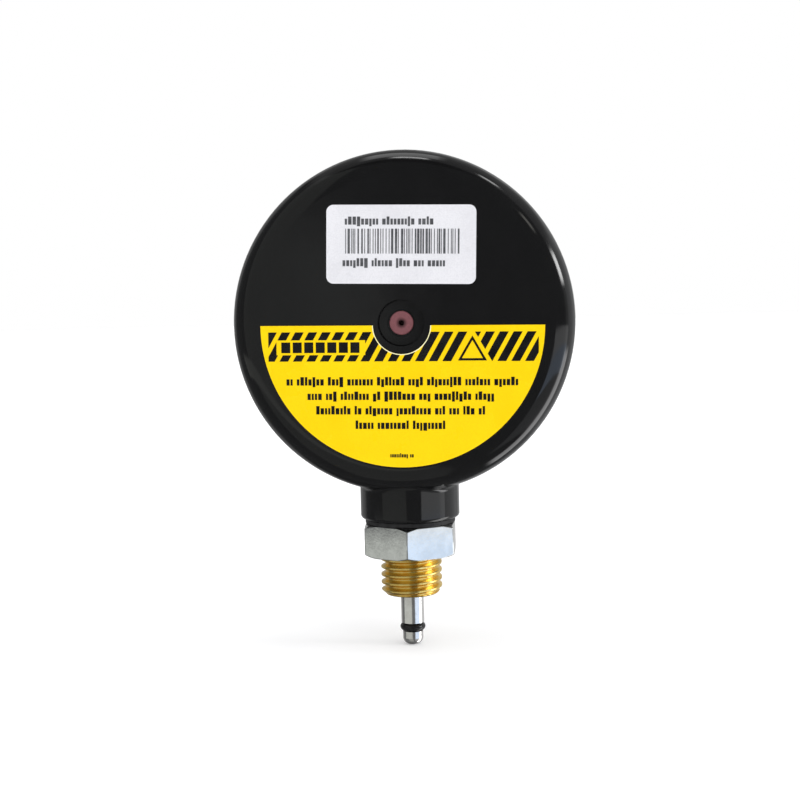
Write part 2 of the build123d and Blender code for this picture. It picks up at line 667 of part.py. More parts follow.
with BuildPart() as socket_block:
    with BuildSketch(front_plane(BLOCK_HALF_DEPTH)):
        with Locations((0, SHOULDER_TOP - GAUGE_Z)):
            Rectangle(
                2 * BLOCK_HALF_WIDTH,
                BLOCK_TOP - SHOULDER_TOP + GAUGE_Z,
                align=(Align.CENTER, Align.MIN),
            )
    extrude(amount=2 * BLOCK_HALF_DEPTH)
    fillet(socket_block.edges().filter_by(Axis.Z), BLOCK_ROUND)
    # the rear tongue that carries the movement
    with BuildSketch(front_plane(REAR_PLATE_Y + TONGUE_THICKNESS)):
        with Locations((TONGUE_LEFT, BLOCK_TOP)):
            Rectangle(
                TONGUE_RIGHT - TONGUE_LEFT,
                TONGUE_TOP - BLOCK_TOP,
                align=(Align.MIN, Align.MIN),
            )
    extrude(amount=TONGUE_THICKNESS)
    with BuildSketch(front_plane(REAR_PLATE_Y + TONGUE_THICKNESS)):
        with Locations((0, BLOCK_TOP - TONGUE_LAP)):
            Rectangle(2 * BLOCK_HALF_WIDTH, TONGUE_LAP, align=(Align.CENTER, Align.MIN))
    extrude(amount=TONGUE_THICKNESS)
    # bores: the stem's tenon, the pressure channel and the slot for the tube's root
    with BuildSketch(Plane.XY.offset(SHOULDER_TOP)):
        Circle(STEM_TENON)
    extrude(amount=TENON_HEIGHT, mode=Mode.SUBTRACT)
    with BuildSketch(Plane.XY.offset(TENON_TOP)):
        Circle(CHANNEL_RADIUS)
    extrude(amount=CROSS_HOLE_Z - TENON_TOP, mode=Mode.SUBTRACT)
    with BuildSketch(Plane.YZ):
        with Locations((0, CROSS_HOLE_Z)):
            Circle(CROSS_HOLE)
    extrude(amount=-TUBE_ROOT_REACH, mode=Mode.SUBTRACT)
    with BuildSketch(TUBE_START_PLANE):
        with Locations((TUBE_RADIUS, 0)):
            SlotOverall(TUBE_DEPTH, TUBE_THICKNESS, rotation=90)
    revolve(axis=GAUGE_AXIS, revolution_arc=TUBE_ROOT_ANGLE - TUBE_TIP_ANGLE, mode=Mode.SUBTRACT)
    # clearance for the sector arbor's end and tapped holes for the movement screws
    with BuildSketch(front_plane(REAR_PLATE_Y)):
        with Locations(SECTOR_PIVOT):
            Circle(PIVOT_RADIUS + ARBOR_END_ROOM)
    extrude(amount=-ARBOR_END_DEPTH, mode=Mode.SUBTRACT)
    with BuildSketch(front_plane(REAR_PLATE_Y)):
        with Locations(*MOVEMENT_SCREWS):
            Circle(SCREW_SHANK)
    extrude(amount=-TONGUE_THICKNESS, mode=Mode.SUBTRACT)
socket_block.part.label = "socket_block"
export_step(socket_block.part, "parts/socket_block.step")

with BuildPart() as tube_tip:
    with BuildSketch(front_plane(TIP_CAP_DEPTH / 2)):
        with Locations(Location((*polar(TUBE_RADIUS, TIP_CAP_ANGLE), 0), (0, 0, TIP_CAP_ANGLE))):
            Rectangle(TIP_CAP_HEIGHT, TIP_CAP_LENGTH)
    extrude(amount=TIP_CAP_DEPTH)
    fillet(tube_tip.edges().filter_by(Axis.Y), TIP_CAP_ROUND)
    with BuildSketch(front_plane(SECTOR_FRONT_Y + SECTOR_THICKNESS)):
        with Locations(TIP_HOLE, polar(TUBE_RADIUS, TIP_CAP_ANGLE)):
            Circle(LINK_PIN_RADIUS + TIP_LUG)
        make_hull()
    extrude(amount=SECTOR_THICKNESS)
    with BuildSketch(front_plane(SECTOR_FRONT_Y + SECTOR_THICKNESS)):
        with Locations(TIP_HOLE):
            Circle(LINK_PIN_RADIUS)
    extrude(amount=SECTOR_THICKNESS, mode=Mode.SUBTRACT)
tube_tip.part.label = "tube_tip"
export_step(tube_tip.part, "parts/tube_tip.step")

# ---------------------------------------------------------------- linkage

with BuildPart() as tip_pin:
    with BuildSketch(front_plane(SECTOR_FRONT_Y + SECTOR_THICKNESS)):
        with Locations(TIP_HOLE):
            Circle(LINK_PIN_RADIUS)
    extrude(amount=PIN_LENGTH)
    with BuildSketch(front_plane(PIN_HEAD_Y)):
        with Locations(TIP_HOLE):
            Circle(PIN_HEAD_RADIUS)
    extrude(amount=PIN_HEAD)
tip_pin.part.label = "tip_pin"
export_step(tip_pin.part, "parts/tip_pin.step")

with BuildPart() as sector_pin:
    with BuildSketch(front_plane(SECTOR_FRONT_Y + SECTOR_THICKNESS)):
        with Locations(LINK_HOLE):
            Circle(LINK_PIN_RADIUS)
    extrude(amount=PIN_LENGTH)
    with BuildSketch(front_plane(PIN_HEAD_Y)):
        with Locations(LINK_HOLE):
            Circle(PIN_HEAD_RADIUS)
    extrude(amount=PIN_HEAD)
sector_pin.part.label = "sector_pin"
export_step(sector_pin.part, "parts/sector_pin.step")

with BuildPart() as link:
    with BuildSketch(front_plane(LINK_BACK_Y)):
        with Locations(LINK_HOLE, TIP_HOLE):
            Circle(LINK_WIDTH / 2)
        make_hull()
        with Locations(LINK_HOLE):
            Circle(LINK_PIN_RADIUS + RUNNING, mode=Mode.SUBTRACT)
        with Locations(TIP_HOLE):
            Circle(LINK_PIN_RADIUS + OPEN_PIVOT_ROOM, mode=Mode.SUBTRACT)
    extrude(amount=LINK_THICKNESS)
link.part.label = "link"
export_step(link.part, "parts/link.step")

# ---------------------------------------------------------------- movement

with BuildSketch() as sector_tooth:
    with BuildLine():
        Polyline(*tooth_outline(SECTOR_TEETH, SECTOR_ADDENDUM, DEDENDUM), close=True)
    make_face()

with BuildSketch() as pinion_tooth:
    with BuildLine():
        Polyline(*tooth_outline(PINION_TEETH, PINION_ADDENDUM, DEDENDUM), close=True)
    make_face()

with BuildPart() as sector_gear:
    with BuildSketch(front_plane(SECTOR_FRONT_Y + SECTOR_THICKNESS)):
        # the wedge between the end teeth, lightened so that a rim and two spokes are left
        with BuildLine():
            Line(SECTOR_PIVOT, polar(SECTOR_ROOT, SECTOR_LOW_ANGLE, SECTOR_PIVOT))
            CenterArc(SECTOR_PIVOT, SECTOR_ROOT, SECTOR_LOW_ANGLE, SECTOR_SPAN)
            Line(polar(SECTOR_ROOT, SECTOR_HIGH_ANGLE, SECTOR_PIVOT), SECTOR_PIVOT)
        make_face()
        with BuildLine():
            Line(
                polar(SPOKE_INNER, SECTOR_LOW_ANGLE + SPOKE_ROOM_INNER, SECTOR_PIVOT),
                polar(SPOKE_OUTER, SECTOR_LOW_ANGLE + SPOKE_ROOM_OUTER, SECTOR_PIVOT),
            )
            CenterArc(
                SECTOR_PIVOT,
                SPOKE_OUTER,
                SECTOR_LOW_ANGLE + SPOKE_ROOM_OUTER,
                SECTOR_SPAN - 2 * SPOKE_ROOM_OUTER,
            )
            Line(
                polar(SPOKE_OUTER, SECTOR_HIGH_ANGLE - SPOKE_ROOM_OUTER, SECTOR_PIVOT),
                polar(SPOKE_INNER, SECTOR_HIGH_ANGLE - SPOKE_ROOM_INNER, SECTOR_PIVOT),
            )
            Line(
                polar(SPOKE_INNER, SECTOR_HIGH_ANGLE - SPOKE_ROOM_INNER, SECTOR_PIVOT),
                polar(SPOKE_INNER, SECTOR_LOW_ANGLE + SPOKE_ROOM_INNER, SECTOR_PIVOT),
            )
        make_face(mode=Mode.SUBTRACT)
        with Locations(*SECTOR_TEETH_PLACES):
            add(sector_tooth.sketch)
        with Locations(SECTOR_PIVOT):
            Circle(SECTOR_HUB)
        # the tail that the link pulls
        with Locations(Location((*SECTOR_PIVOT, 0), (0, 0, TAIL_ANGLE))):
            Rectangle(TAIL_LENGTH, TAIL_WIDTH, align=(Align.MIN, Align.CENTER))
        with Locations(LINK_HOLE):
            Circle(TAIL_WIDTH / 2)
            Circle(LINK_PIN_RADIUS, mode=Mode.SUBTRACT)
        with Locations(SECTOR_PIVOT):
            Circle(ARBOR_RADIUS, mode=Mode.SUBTRACT)
    extrude(amount=SECTOR_THICKNESS)
sector_gear.part.label = "sector_gear"
export_step(sector_gear.part, "parts/sector_gear.step")

with BuildPart() as sector_arbor:
    with BuildSketch(front_plane(REAR_PLATE_Y)):
        with Locations(SECTOR_PIVOT):
            Circle(PIVOT_RADIUS)
    extrude(amount=REAR_PLATE_Y - PLATE_FRONT_Y)
    with BuildSketch(front_plane(REAR_PLATE_FRONT_Y - END_SHAKE)):
        with Locations(SECTOR_PIVOT):
            Circle(ARBOR_RADIUS)
    extrude(amount=REAR_PLATE_FRONT_Y - FRONT_PLATE_Y - 2 * END_SHAKE)
sector_arbor.part.label = "sector_arbor"
export_step(sector_arbor.part, "parts/sector_arbor.step")

with BuildPart() as pinion_arbor:
    with BuildSketch(front_plane(REAR_PLATE_Y)):
        Circle(PIVOT_RADIUS)
    extrude(amount=PLATE_THICKNESS + END_SHAKE)
    with BuildSketch(front_plane(REAR_PLATE_FRONT_Y - END_SHAKE)):
        Circle(ARBOR_RADIUS)
    extrude(amount=REAR_PLATE_FRONT_Y - END_SHAKE - ARBOR_TIP_Y)
    chamfer(pinion_arbor.edges().filter_by(GeomType.CIRCLE).sort_by(Axis.Y)[0], ARBOR_LEAD)
    with BuildSketch(front_plane(PINION_BACK_Y)):
        Circle(PINION_PITCH - DEDENDUM)
        with PolarLocations(0, PINION_TEETH, start_angle=PINION_PHASE):
            add(pinion_tooth.sketch)
    extrude(amount=PINION_LENGTH)
    with BuildSketch(front_plane(FRONT_PLATE_Y + END_SHAKE + COLLAR_LENGTH)):
        Circle(ARBOR_RADIUS + COLLAR_STEP)
    extrude(amount=COLLAR_LENGTH)
pinion_arbor.part.label = "pinion_arbor"
export_step(pinion_arbor.part, "parts/pinion_arbor.step")

with BuildPart() as rear_plate:
    with BuildSketch(front_plane(REAR_PLATE_Y)):
        with Locations(*PILLARS, *MOVEMENT_SCREWS):
            Circle(PLATE_MARGIN)
        make_hull()
        with Locations((0, 0), SECTOR_PIVOT):
            Circle(PIVOT_RADIUS + RUNNING, mode=Mode.SUBTRACT)
        with Locations(*PILLARS):
            Circle(RIVET_RADIUS, mode=Mode.SUBTRACT)
        with Locations(*MOVEMENT_SCREWS):
            Circle(SCREW_SHANK, mode=Mode.SUBTRACT)
        with Locations(HAIRSPRING_STUD):
            Circle(STUD_RADIUS, mode=Mode.SUBTRACT)
    extrude(amount=PLATE_THICKNESS)
rear_plate.part.label = "rear_plate"
export_step(rear_plate.part, "parts/rear_plate.step")

with BuildPart() as front_plate:
    with BuildSketch(front_plane(FRONT_PLATE_Y)):
        with Locations(*PILLARS, *DIAL_POSTS, SECTOR_PIVOT):
            Circle(PLATE_MARGIN)
        make_hull()
        Circle(ARBOR_RADIUS + RUNNING, mode=Mode.SUBTRACT)
        with Locations(SECTOR_PIVOT):
            Circle(PIVOT_RADIUS + RUNNING, mode=Mode.SUBTRACT)
        with Locations(*PILLARS):
            Circle(SCREW_SHANK, mode=Mode.SUBTRACT)
        with Locations(*DIAL_POSTS):
            Circle(RIVET_RADIUS, mode=Mode.SUBTRACT)
    extrude(amount=PLATE_THICKNESS)
front_plate.part.label = "front_plate"
export_step(front_plate.part, "parts/front_plate.step")

with BuildPart() as plate_pillars:
    with BuildSketch(front_plane(REAR_PLATE_FRONT_Y)):
        with Locations(*PILLARS):
            Circle(PILLAR_RADIUS)
    extrude(amount=REAR_PLATE_FRONT_Y - FRONT_PLATE_Y)
    with BuildSketch(front_plane(REAR_PLATE_Y)):
        with Locations(*PILLARS):
            Circle(RIVET_RADIUS)
    extrude(amount=PLATE_THICKNESS)
    with BuildSketch(front_plane(FRONT_PLATE_Y)):
        with Locations(*PILLARS):
            Circle(SCREW_SHANK)
    extrude(amount=-SCREW_REACH, mode=Mode.SUBTRACT)
plate_pillars.part.label = "plate_pillars"
export_step(plate_pillars.part, "parts/plate_pillars.step")

with BuildPart() as dial_posts:
    with BuildSketch(front_plane(PLATE_FRONT_Y)):
        with Locations(*DIAL_POSTS):
            Circle(PILLAR_RADIUS)
    extrude(amount=PLATE_FRONT_Y - DIAL_BACK_Y)
    with BuildSketch(front_plane(FRONT_PLATE_Y)):
        with Locations(*DIAL_POSTS):
            Circle(RIVET_RADIUS)
    extrude(amount=PLATE_THICKNESS)
    with BuildSketch(front_plane(DIAL_BACK_Y)):
        with Locations(*DIAL_POSTS):
            Circle(SCREW_SHANK)
    extrude(amount=-SCREW_REACH, mode=Mode.SUBTRACT)
dial_posts.part.label = "dial_posts"
export_step(dial_posts.part, "parts/dial_posts.step")


def slotted_screws(places, face_y, held):
    """Cheese-head screws standing on a face at face_y, one at each place in the dial's plane.

    Each shank is a little shorter than the depth that holds it.
    """
    with BuildPart() as screws:
        with BuildSketch(front_plane(face_y)):
            with Locations(*places):
                Circle(SCREW_HEAD)
        extrude(amount=SCREW_HEAD_HEIGHT)
        fillet(screws.edges().filter_by(GeomType.CIRCLE).group_by(Axis.Y)[0], SCREW_ROUND)
        with BuildSketch(front_plane(face_y - SCREW_HEAD_HEIGHT)):
            with Locations(*places):
                Rectangle(2 * SCREW_HEAD, SCREW_SLOT, rotation=SCREW_SLOT_ANGLE)
        extrude(amount=-SCREW_SLOT_DEPTH, mode=Mode.SUBTRACT)
        with BuildSketch(front_plane(face_y)):
            with Locations(*places):
                Circle(SCREW_SHANK)
        extrude(amount=SCREW_END_ROOM - held)
    return screws


plate_screws = slotted_screws(PILLARS, PLATE_FRONT_Y, PLATE_THICKNESS + SCREW_REACH)
plate_screws.part.label = "plate_screws"
export_step(plate_screws.part, "parts/plate_screws.step")

movement_screws = slotted_screws(
    MOVEMENT_SCREWS,
    REAR_PLATE_FRONT_Y,
    PLATE_THICKNESS + TONGUE_THICKNESS,
)
movement_screws.part.label = "movement_screws"
export_step(movement_screws.part, "parts/movement_screws.step")

dial_screws = slotted_screws(DIAL_POSTS, DIAL_FRONT_Y, DIAL_THICKNESS + SCREW_REACH)
dial_screws.part.label = "dial_screws"
export_step(dial_screws.part, "parts/dial_screws.step")

with BuildPart() as hairspring_collet:
    with BuildSketch(front_plane(HAIRSPRING_Y)):
        Circle(COLLET_RADIUS)
        Circle(ARBOR_RADIUS, mode=Mode.SUBTRACT)
    extrude(amount=HAIRSPRING_HEIGHT)
hairspring_collet.part.label = "hairspring_collet"
export_step(hairspring_collet.part, "parts/hairspring_collet.step")

with BuildPart() as hairspring:
    with BuildSketch(front_plane(HAIRSPRING_Y)):
        with BuildLine():
            inner_edge = Spline(*HAIRSPRING_INNER)
            outer_edge = Spline(*HAIRSPRING_OUTER)
            Line(inner_edge @ 0, outer_edge @ 0)
            Line(inner_edge @ 1, outer_edge @ 1)
        make_face()
    extrude(amount=HAIRSPRING_HEIGHT)
hairspring.part.label = "hairspring"
export_step(hairspring.part, "parts/hairspring.step")

with BuildPart() as hairspring_stud:
    with BuildSketch(front_plane(REAR_PLATE_Y)):
        with Locations(HAIRSPRING_STUD):
            Circle(STUD_RADIUS)
    extrude(amount=REAR_PLATE_Y - HAIRSPRING_Y + HAIRSPRING_HEIGHT)
hairspring_stud.part.label = "hairspring_stud"
export_step(hairspring_stud.part, "parts/hairspring_stud.step")

# ---------------------------------------------------------------- dial and pointer

with BuildPart() as dial:
    with BuildSketch(front_plane(DIAL_BACK_Y)):
        Circle(DIAL_RADIUS)
        Circle(HUB_RADIUS + DIAL_HOLE_ROOM, mode=Mode.SUBTRACT)
        with Locations(*DIAL_POSTS):
            Circle(SCREW_SHANK, mode=Mode.SUBTRACT)
        with Locations(STOP_PLACE):
            Circle(STOP_PIN, mode=Mode.SUBTRACT)
    extrude(amount=DIAL_THICKNESS)
dial.part.label = "dial"
export_step(dial.part, "parts/dial.step")

with BuildPart() as zero_stop_pin:
    with BuildSketch(front_plane(DIAL_BACK_Y)):
        with Locations(STOP_PLACE):
            Circle(STOP_PIN)
    extrude(amount=DIAL_BACK_Y - STOP_TIP_Y)
    fillet(zero_stop_pin.edges().filter_by(GeomType.CIRCLE).sort_by(Axis.Y)[0], STOP_PIN_ROUND)
zero_stop_pin.part.label = "zero_stop_pin"
export_step(zero_stop_pin.part, "parts/zero_stop_pin.step")

with BuildPart() as pointer:
    with BuildSketch(front_plane(POINTER_BACK_Y)):
        with Locations(Location((0, 0, 0), (0, 0, ZERO_ANGLE))):
            Polygon(*POINTER_OUTLINE, align=None)
        Circle(POINTER_DISC)
        Circle(HUB_RADIUS, mode=Mode.SUBTRACT)
    extrude(amount=POINTER_THICKNESS)
pointer.part.label = "pointer"
export_step(pointer.part, "parts/pointer.step")

with BuildPart() as pointer_hub:
    with BuildSketch(front_plane(POINTER_BACK_Y + HUB_SKIRT)):
        Circle(HUB_RADIUS)
    extrude(amount=HUB_SKIRT + POINTER_THICKNESS)
    with BuildSketch(front_plane(POINTER_BACK_Y - POINTER_THICKNESS)):
        Circle(HUB_CAP_RADIUS)
    extrude(amount=HUB_CAP_HEIGHT)
    fillet(pointer_hub.edges().filter_by(GeomType.CIRCLE).sort_by(Axis.Y)[0], HUB_CAP_ROUND)
    with BuildSketch(front_plane(POINTER_BACK_Y + HUB_SKIRT)):
        Circle(ARBOR_RADIUS)
    extrude(amount=POINTER_BACK_Y + HUB_SKIRT - ARBOR_TIP_Y, mode=Mode.SUBTRACT)
pointer_hub.part.label = "pointer_hub"
export_step(pointer_hub.part, "parts/pointer_hub.step")
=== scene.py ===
import json
import math
import random

import bmesh
import bpy
from mathutils import Matrix, Vector
from mathutils.geometry import delaunay_2d_cdt

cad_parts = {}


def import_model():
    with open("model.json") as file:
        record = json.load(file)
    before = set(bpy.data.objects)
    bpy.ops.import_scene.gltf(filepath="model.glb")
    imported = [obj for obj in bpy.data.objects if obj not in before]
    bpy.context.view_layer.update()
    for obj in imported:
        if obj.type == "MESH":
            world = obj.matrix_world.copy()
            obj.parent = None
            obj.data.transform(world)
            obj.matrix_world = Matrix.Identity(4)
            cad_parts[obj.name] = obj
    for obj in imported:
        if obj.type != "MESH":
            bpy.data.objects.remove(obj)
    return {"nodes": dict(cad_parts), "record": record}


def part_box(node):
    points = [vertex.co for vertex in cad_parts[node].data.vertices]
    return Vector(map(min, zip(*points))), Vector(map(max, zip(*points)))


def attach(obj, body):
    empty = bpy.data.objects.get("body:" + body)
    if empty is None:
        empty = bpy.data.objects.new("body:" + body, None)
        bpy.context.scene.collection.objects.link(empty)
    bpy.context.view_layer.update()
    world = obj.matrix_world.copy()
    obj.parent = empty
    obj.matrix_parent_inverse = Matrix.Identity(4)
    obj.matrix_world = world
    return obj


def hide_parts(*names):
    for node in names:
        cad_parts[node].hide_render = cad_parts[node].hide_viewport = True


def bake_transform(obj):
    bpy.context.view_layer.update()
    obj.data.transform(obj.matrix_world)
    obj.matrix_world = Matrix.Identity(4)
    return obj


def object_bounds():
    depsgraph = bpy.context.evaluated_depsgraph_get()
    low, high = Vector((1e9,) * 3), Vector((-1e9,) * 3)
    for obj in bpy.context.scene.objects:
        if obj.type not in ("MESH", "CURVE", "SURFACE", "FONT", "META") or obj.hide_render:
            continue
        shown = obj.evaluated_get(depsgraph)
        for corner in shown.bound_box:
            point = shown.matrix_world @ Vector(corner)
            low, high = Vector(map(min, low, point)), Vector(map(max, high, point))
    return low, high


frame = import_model()
cad_low, cad_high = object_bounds()

# A pressure gauge head seen from behind. The object's lengths are written in millimetres and
# multiplied by MM; what comes from the frame and the studio's lengths are in metres. Angles are
# written in degrees. On the back face, "across" runs to the right as seen from behind, which is -X,
# and "up" is +Z.

MM = 0.001
MICROMETRE = 1e-6
SEED = 451

# ---------------------------------------------------------------- sizes read from the frame

CASE_LOW, CASE_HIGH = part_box("case")
CASE_RADIUS = (CASE_HIGH.x - CASE_LOW.x) / 2
GAUGE_CENTRE = Vector(((CASE_HIGH.x + CASE_LOW.x) / 2, 0, CASE_HIGH.z - CASE_RADIUS))
BACK_Y = CASE_HIGH.y
FLOOR_Z = cad_low.z


# ---------------------------------------------------------------- node trees


def coloured(value):
    """A colour of three parts as a node's input wants it; a socket stays as it is."""
    return (*value, 1) if isinstance(value, tuple) else value


class Nodes:
    """A node tree under construction. add() makes a node, feeds its inputs and returns its outputs."""

    def __init__(self, tree):
        self.tree = tree
        tree.nodes.clear()

    def add(self, kind, inputs=None, **settings):
        node = self.tree.nodes.new(kind)
        for name, value in settings.items():
            setattr(node, name, value)
        for name, value in (inputs or {}).items():
            if isinstance(value, bpy.types.NodeSocket):
                self.tree.links.new(value, node.inputs[name])
            else:
                node.inputs[name].default_value = value
        return node.outputs

    def math(self, operation, first, second=0.0):
        return self.add("ShaderNodeMath", {0: first, 1: second}, operation=operation)[0]

    def vector(self, operation, first, second):
        """Arithmetic on vectors; for SCALE the second is a plain factor."""
        key = "Scale" if operation == "SCALE" else 1
        return self.add("ShaderNodeVectorMath", {0: first, key: second}, operation=operation)[0]

    def between(self, value, low, high, to_low=0.0, to_high=1.0, kind="SMOOTHSTEP"):
        """Value carried from the range low..high to to_low..to_high, with soft or straight ends."""
        inputs = {0: value, 1: low, 2: high, 3: to_low, 4: to_high}
        return self.add("ShaderNodeMapRange", inputs, interpolation_type=kind)[0]

    def mix(self, factor, first, second):
        """A colour between two colours of three parts or two sockets."""
        # a Mix node takes colours in its inputs 6 and 7 and gives one in its output 2
        inputs = {0: factor, 6: coloured(first), 7: coloured(second)}
        return self.add("ShaderNodeMix", inputs, data_type="RGBA")[2]

    def bump(self, height, depth, under=None):
        """A normal bumped by a height from 0 to 1, depth micrometres deep, over another normal."""
        inputs = {"Height": height, "Distance": depth * MICROMETRE, "Strength": 1.0}
        if under is not None:
            inputs["Normal"] = under
        return self.add("ShaderNodeBump", inputs)[0]

    def noise(self, place, size, detail=3.0, roughness=0.55):
        """Noise with features of about the given size, in millimetres, or a size for each axis."""
        sizes = size if isinstance(size, tuple) else (size,) * 3
        scaled = self.vector("MULTIPLY", place, tuple(1 / along for along in sizes))
        inputs = {"Vector": scaled, "Scale": 1.0, "Detail": detail, "Roughness": roughness}
        return self.add("ShaderNodeTexNoise", inputs)[0]

    def place(self):
        """Where the surface is, in millimetres, in the frame at rest."""
        return self.vector("SCALE", self.add("ShaderNodeTexCoord")["Object"], 1 / MM)

    def turned(self, axis, centre=(0.0, 0.0, 0.0)):
        """The same place as a lathe sees it: the radius and the station along an axis, with no angle."""
        moved = self.vector("SUBTRACT", self.place(), centre)
        parts = self.add("ShaderNodeSeparateXYZ", {0: moved})
        across = [parts[i] for i in range(3) if "XYZ"[i] != axis]
        squares = [self.math("MULTIPLY", part, part) for part in across]
        radius = self.math("SQRT", self.math("ADD", *squares))
        inputs = {0: radius, 2: parts["XYZ".index(axis)]}
        return self.add("ShaderNodeCombineXYZ", inputs)[0]


def shader(name, build, **constants):
    """A material whose build(nodes) returns what feeds the Principled shader; constants are set on it."""
    material = bpy.data.materials.new(name)
    material.use_nodes = True
    nodes = Nodes(material.node_tree)
    inputs = {key.replace("_", " "): value for key, value in constants.items()}
    inputs.update(build(nodes))
    surface = nodes.add("ShaderNodeBsdfPrincipled", inputs)[0]
    nodes.add("ShaderNodeOutputMaterial", {"Surface": surface})
    return material


def grained(name, dark, light, tone, grain, rough, depth, turned=None, **constants):
    """A surface with slow colour changes of size tone and a fine grain that moves roughness and height.
    Sizes are in millimetres, depth in micrometres. Turned surfaces have tool rings about an axis
    through the frame's origin."""

    def build(nodes):
        place = nodes.place()
        track = nodes.turned(turned) if turned else place
        fine = nodes.noise(track, grain)
        shade = nodes.between(nodes.noise(place, tone), 0.3, 0.7)
        height = nodes.between(fine, 0.2, 0.8, kind="LINEAR")
        return {
            "Base Color": nodes.mix(shade, dark, light),
            "Roughness": nodes.between(fine, 0.25, 0.75, *rough),
            "Normal": nodes.bump(height, depth),
        }

    return shader(name, build, **constants)


# ---------------------------------------------------------------- materials


def case_plastic():
    """Polished black moulded plastic: slightly uneven, with faint handling haze."""

    def build(nodes):
        place = nodes.place()
        haze = nodes.noise(place, (5.0, 5.0, 9.0), detail=6.0)
        flow = nodes.bump(nodes.noise(place, 11.0, detail=2.0), 22.0)
        pores = nodes.noise(place, 0.35, detail=2.0)
        return {
            "Base Color": nodes.mix(haze, (0.0030, 0.0030, 0.0033), (0.0058, 0.0058, 0.0062)),
            "Roughness": nodes.between(haze, 0.35, 0.75, 0.07, 0.13),
            "Normal": nodes.bump(pores, 0.5, under=flow),
        }

    return shader("case_gloss", build, IOR=1.5)


def clear_window():
    """Clear plastic: it lets light straight through and reflects the more the flatter it is seen."""
    material = bpy.data.materials.new("window_plastic")
    material.use_nodes = True
    nodes = Nodes(material.node_tree)
    place = nodes.place()
    wipe = nodes.noise(place, (2.0, 2.0, 14.0), detail=5.0)
    normal = nodes.bump(nodes.noise(place, 16.0, detail=2.0), 12.0)
    gloss = {
        "Color": (1, 1, 1, 1),
        "Roughness": nodes.between(wipe, 0.4, 0.8, 0.02, 0.07),
        "Normal": normal,
    }
    reflection = nodes.add("ShaderNodeBsdfAnisotropic", gloss)[0]
    through = nodes.add("ShaderNodeBsdfTransparent", {"Color": (0.985, 0.99, 0.99, 1)})[0]
    # only the side toward the eye mirrors: light leaving through the far side isn't bent, so it
    # mustn't be turned back either
    leaving = nodes.add("ShaderNodeNewGeometry")["Backfacing"]
    fresnel = nodes.add("ShaderNodeFresnel", {"IOR": 1.49, "Normal": normal})[0]
    share = nodes.math("MULTIPLY", fresnel, nodes.math("SUBTRACT", 1.0, leaving))
    both = nodes.add("ShaderNodeMixShader", {0: share, 1: through, 2: reflection})[0]
    nodes.add("ShaderNodeOutputMaterial", {"Surface": both})
    return material


def film(name, dark, light, rough, shine):
    """A printed label's film: even ink with a faint mottle and the slight waves of its adhesive."""

    def build(nodes):
        place = nodes.place()
        cloud = nodes.noise(place, 7.0, detail=4.0)
        grain = nodes.noise(place, 0.25, detail=2.0)
        mottle = nodes.between(nodes.math("MULTIPLY", cloud, grain), 0.1, 0.4)
        return {
            "Base Color": nodes.mix(mottle, dark, light),
            "Roughness": nodes.between(cloud, 0.3, 0.7, *rough),
            "Normal": nodes.bump(nodes.noise(place, 6.0, detail=2.0), 14.0),
        }

    return shader(name, build, IOR=1.48, Specular_IOR_Level=shine)


def plug_rubber():
    """Dusty red rubber, with painted shade that darkens it round the dimple in its middle."""
    plug_low, plug_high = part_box("relief_plug")
    middle = tuple((plug_low + plug_high) / 2 / MM)
    # painted shade: between these radii, in millimetres, the colour darkens toward the dimple's middle
    dimple_shade_inner, dimple_shade_outer = 0.45, 1.25

    def build(nodes):
        radius = nodes.add("ShaderNodeSeparateXYZ", {0: nodes.turned("Y", middle)})[0]
        dust = nodes.noise(nodes.place(), 0.5, detail=6.0, roughness=0.7)
        body = nodes.mix(dust, (0.125, 0.040, 0.046), (0.285, 0.105, 0.118))
        # painted shade: toward the dimple the rubber's colour is carried to a dark red
        dimple_shade = nodes.between(radius, dimple_shade_inner, dimple_shade_outer, 1.0, 0.0)
        return {
            "Base Color": nodes.mix(dimple_shade, body, (0.050, 0.014, 0.016)),
            "Roughness": nodes.between(dust, 0.3, 0.7, 0.55, 0.8),
            "Normal": nodes.bump(dust, 20.0),
        }

    return shader("plug_red_rubber", build, Specular_IOR_Level=0.35)


METAL = {"Metallic": 1.0}

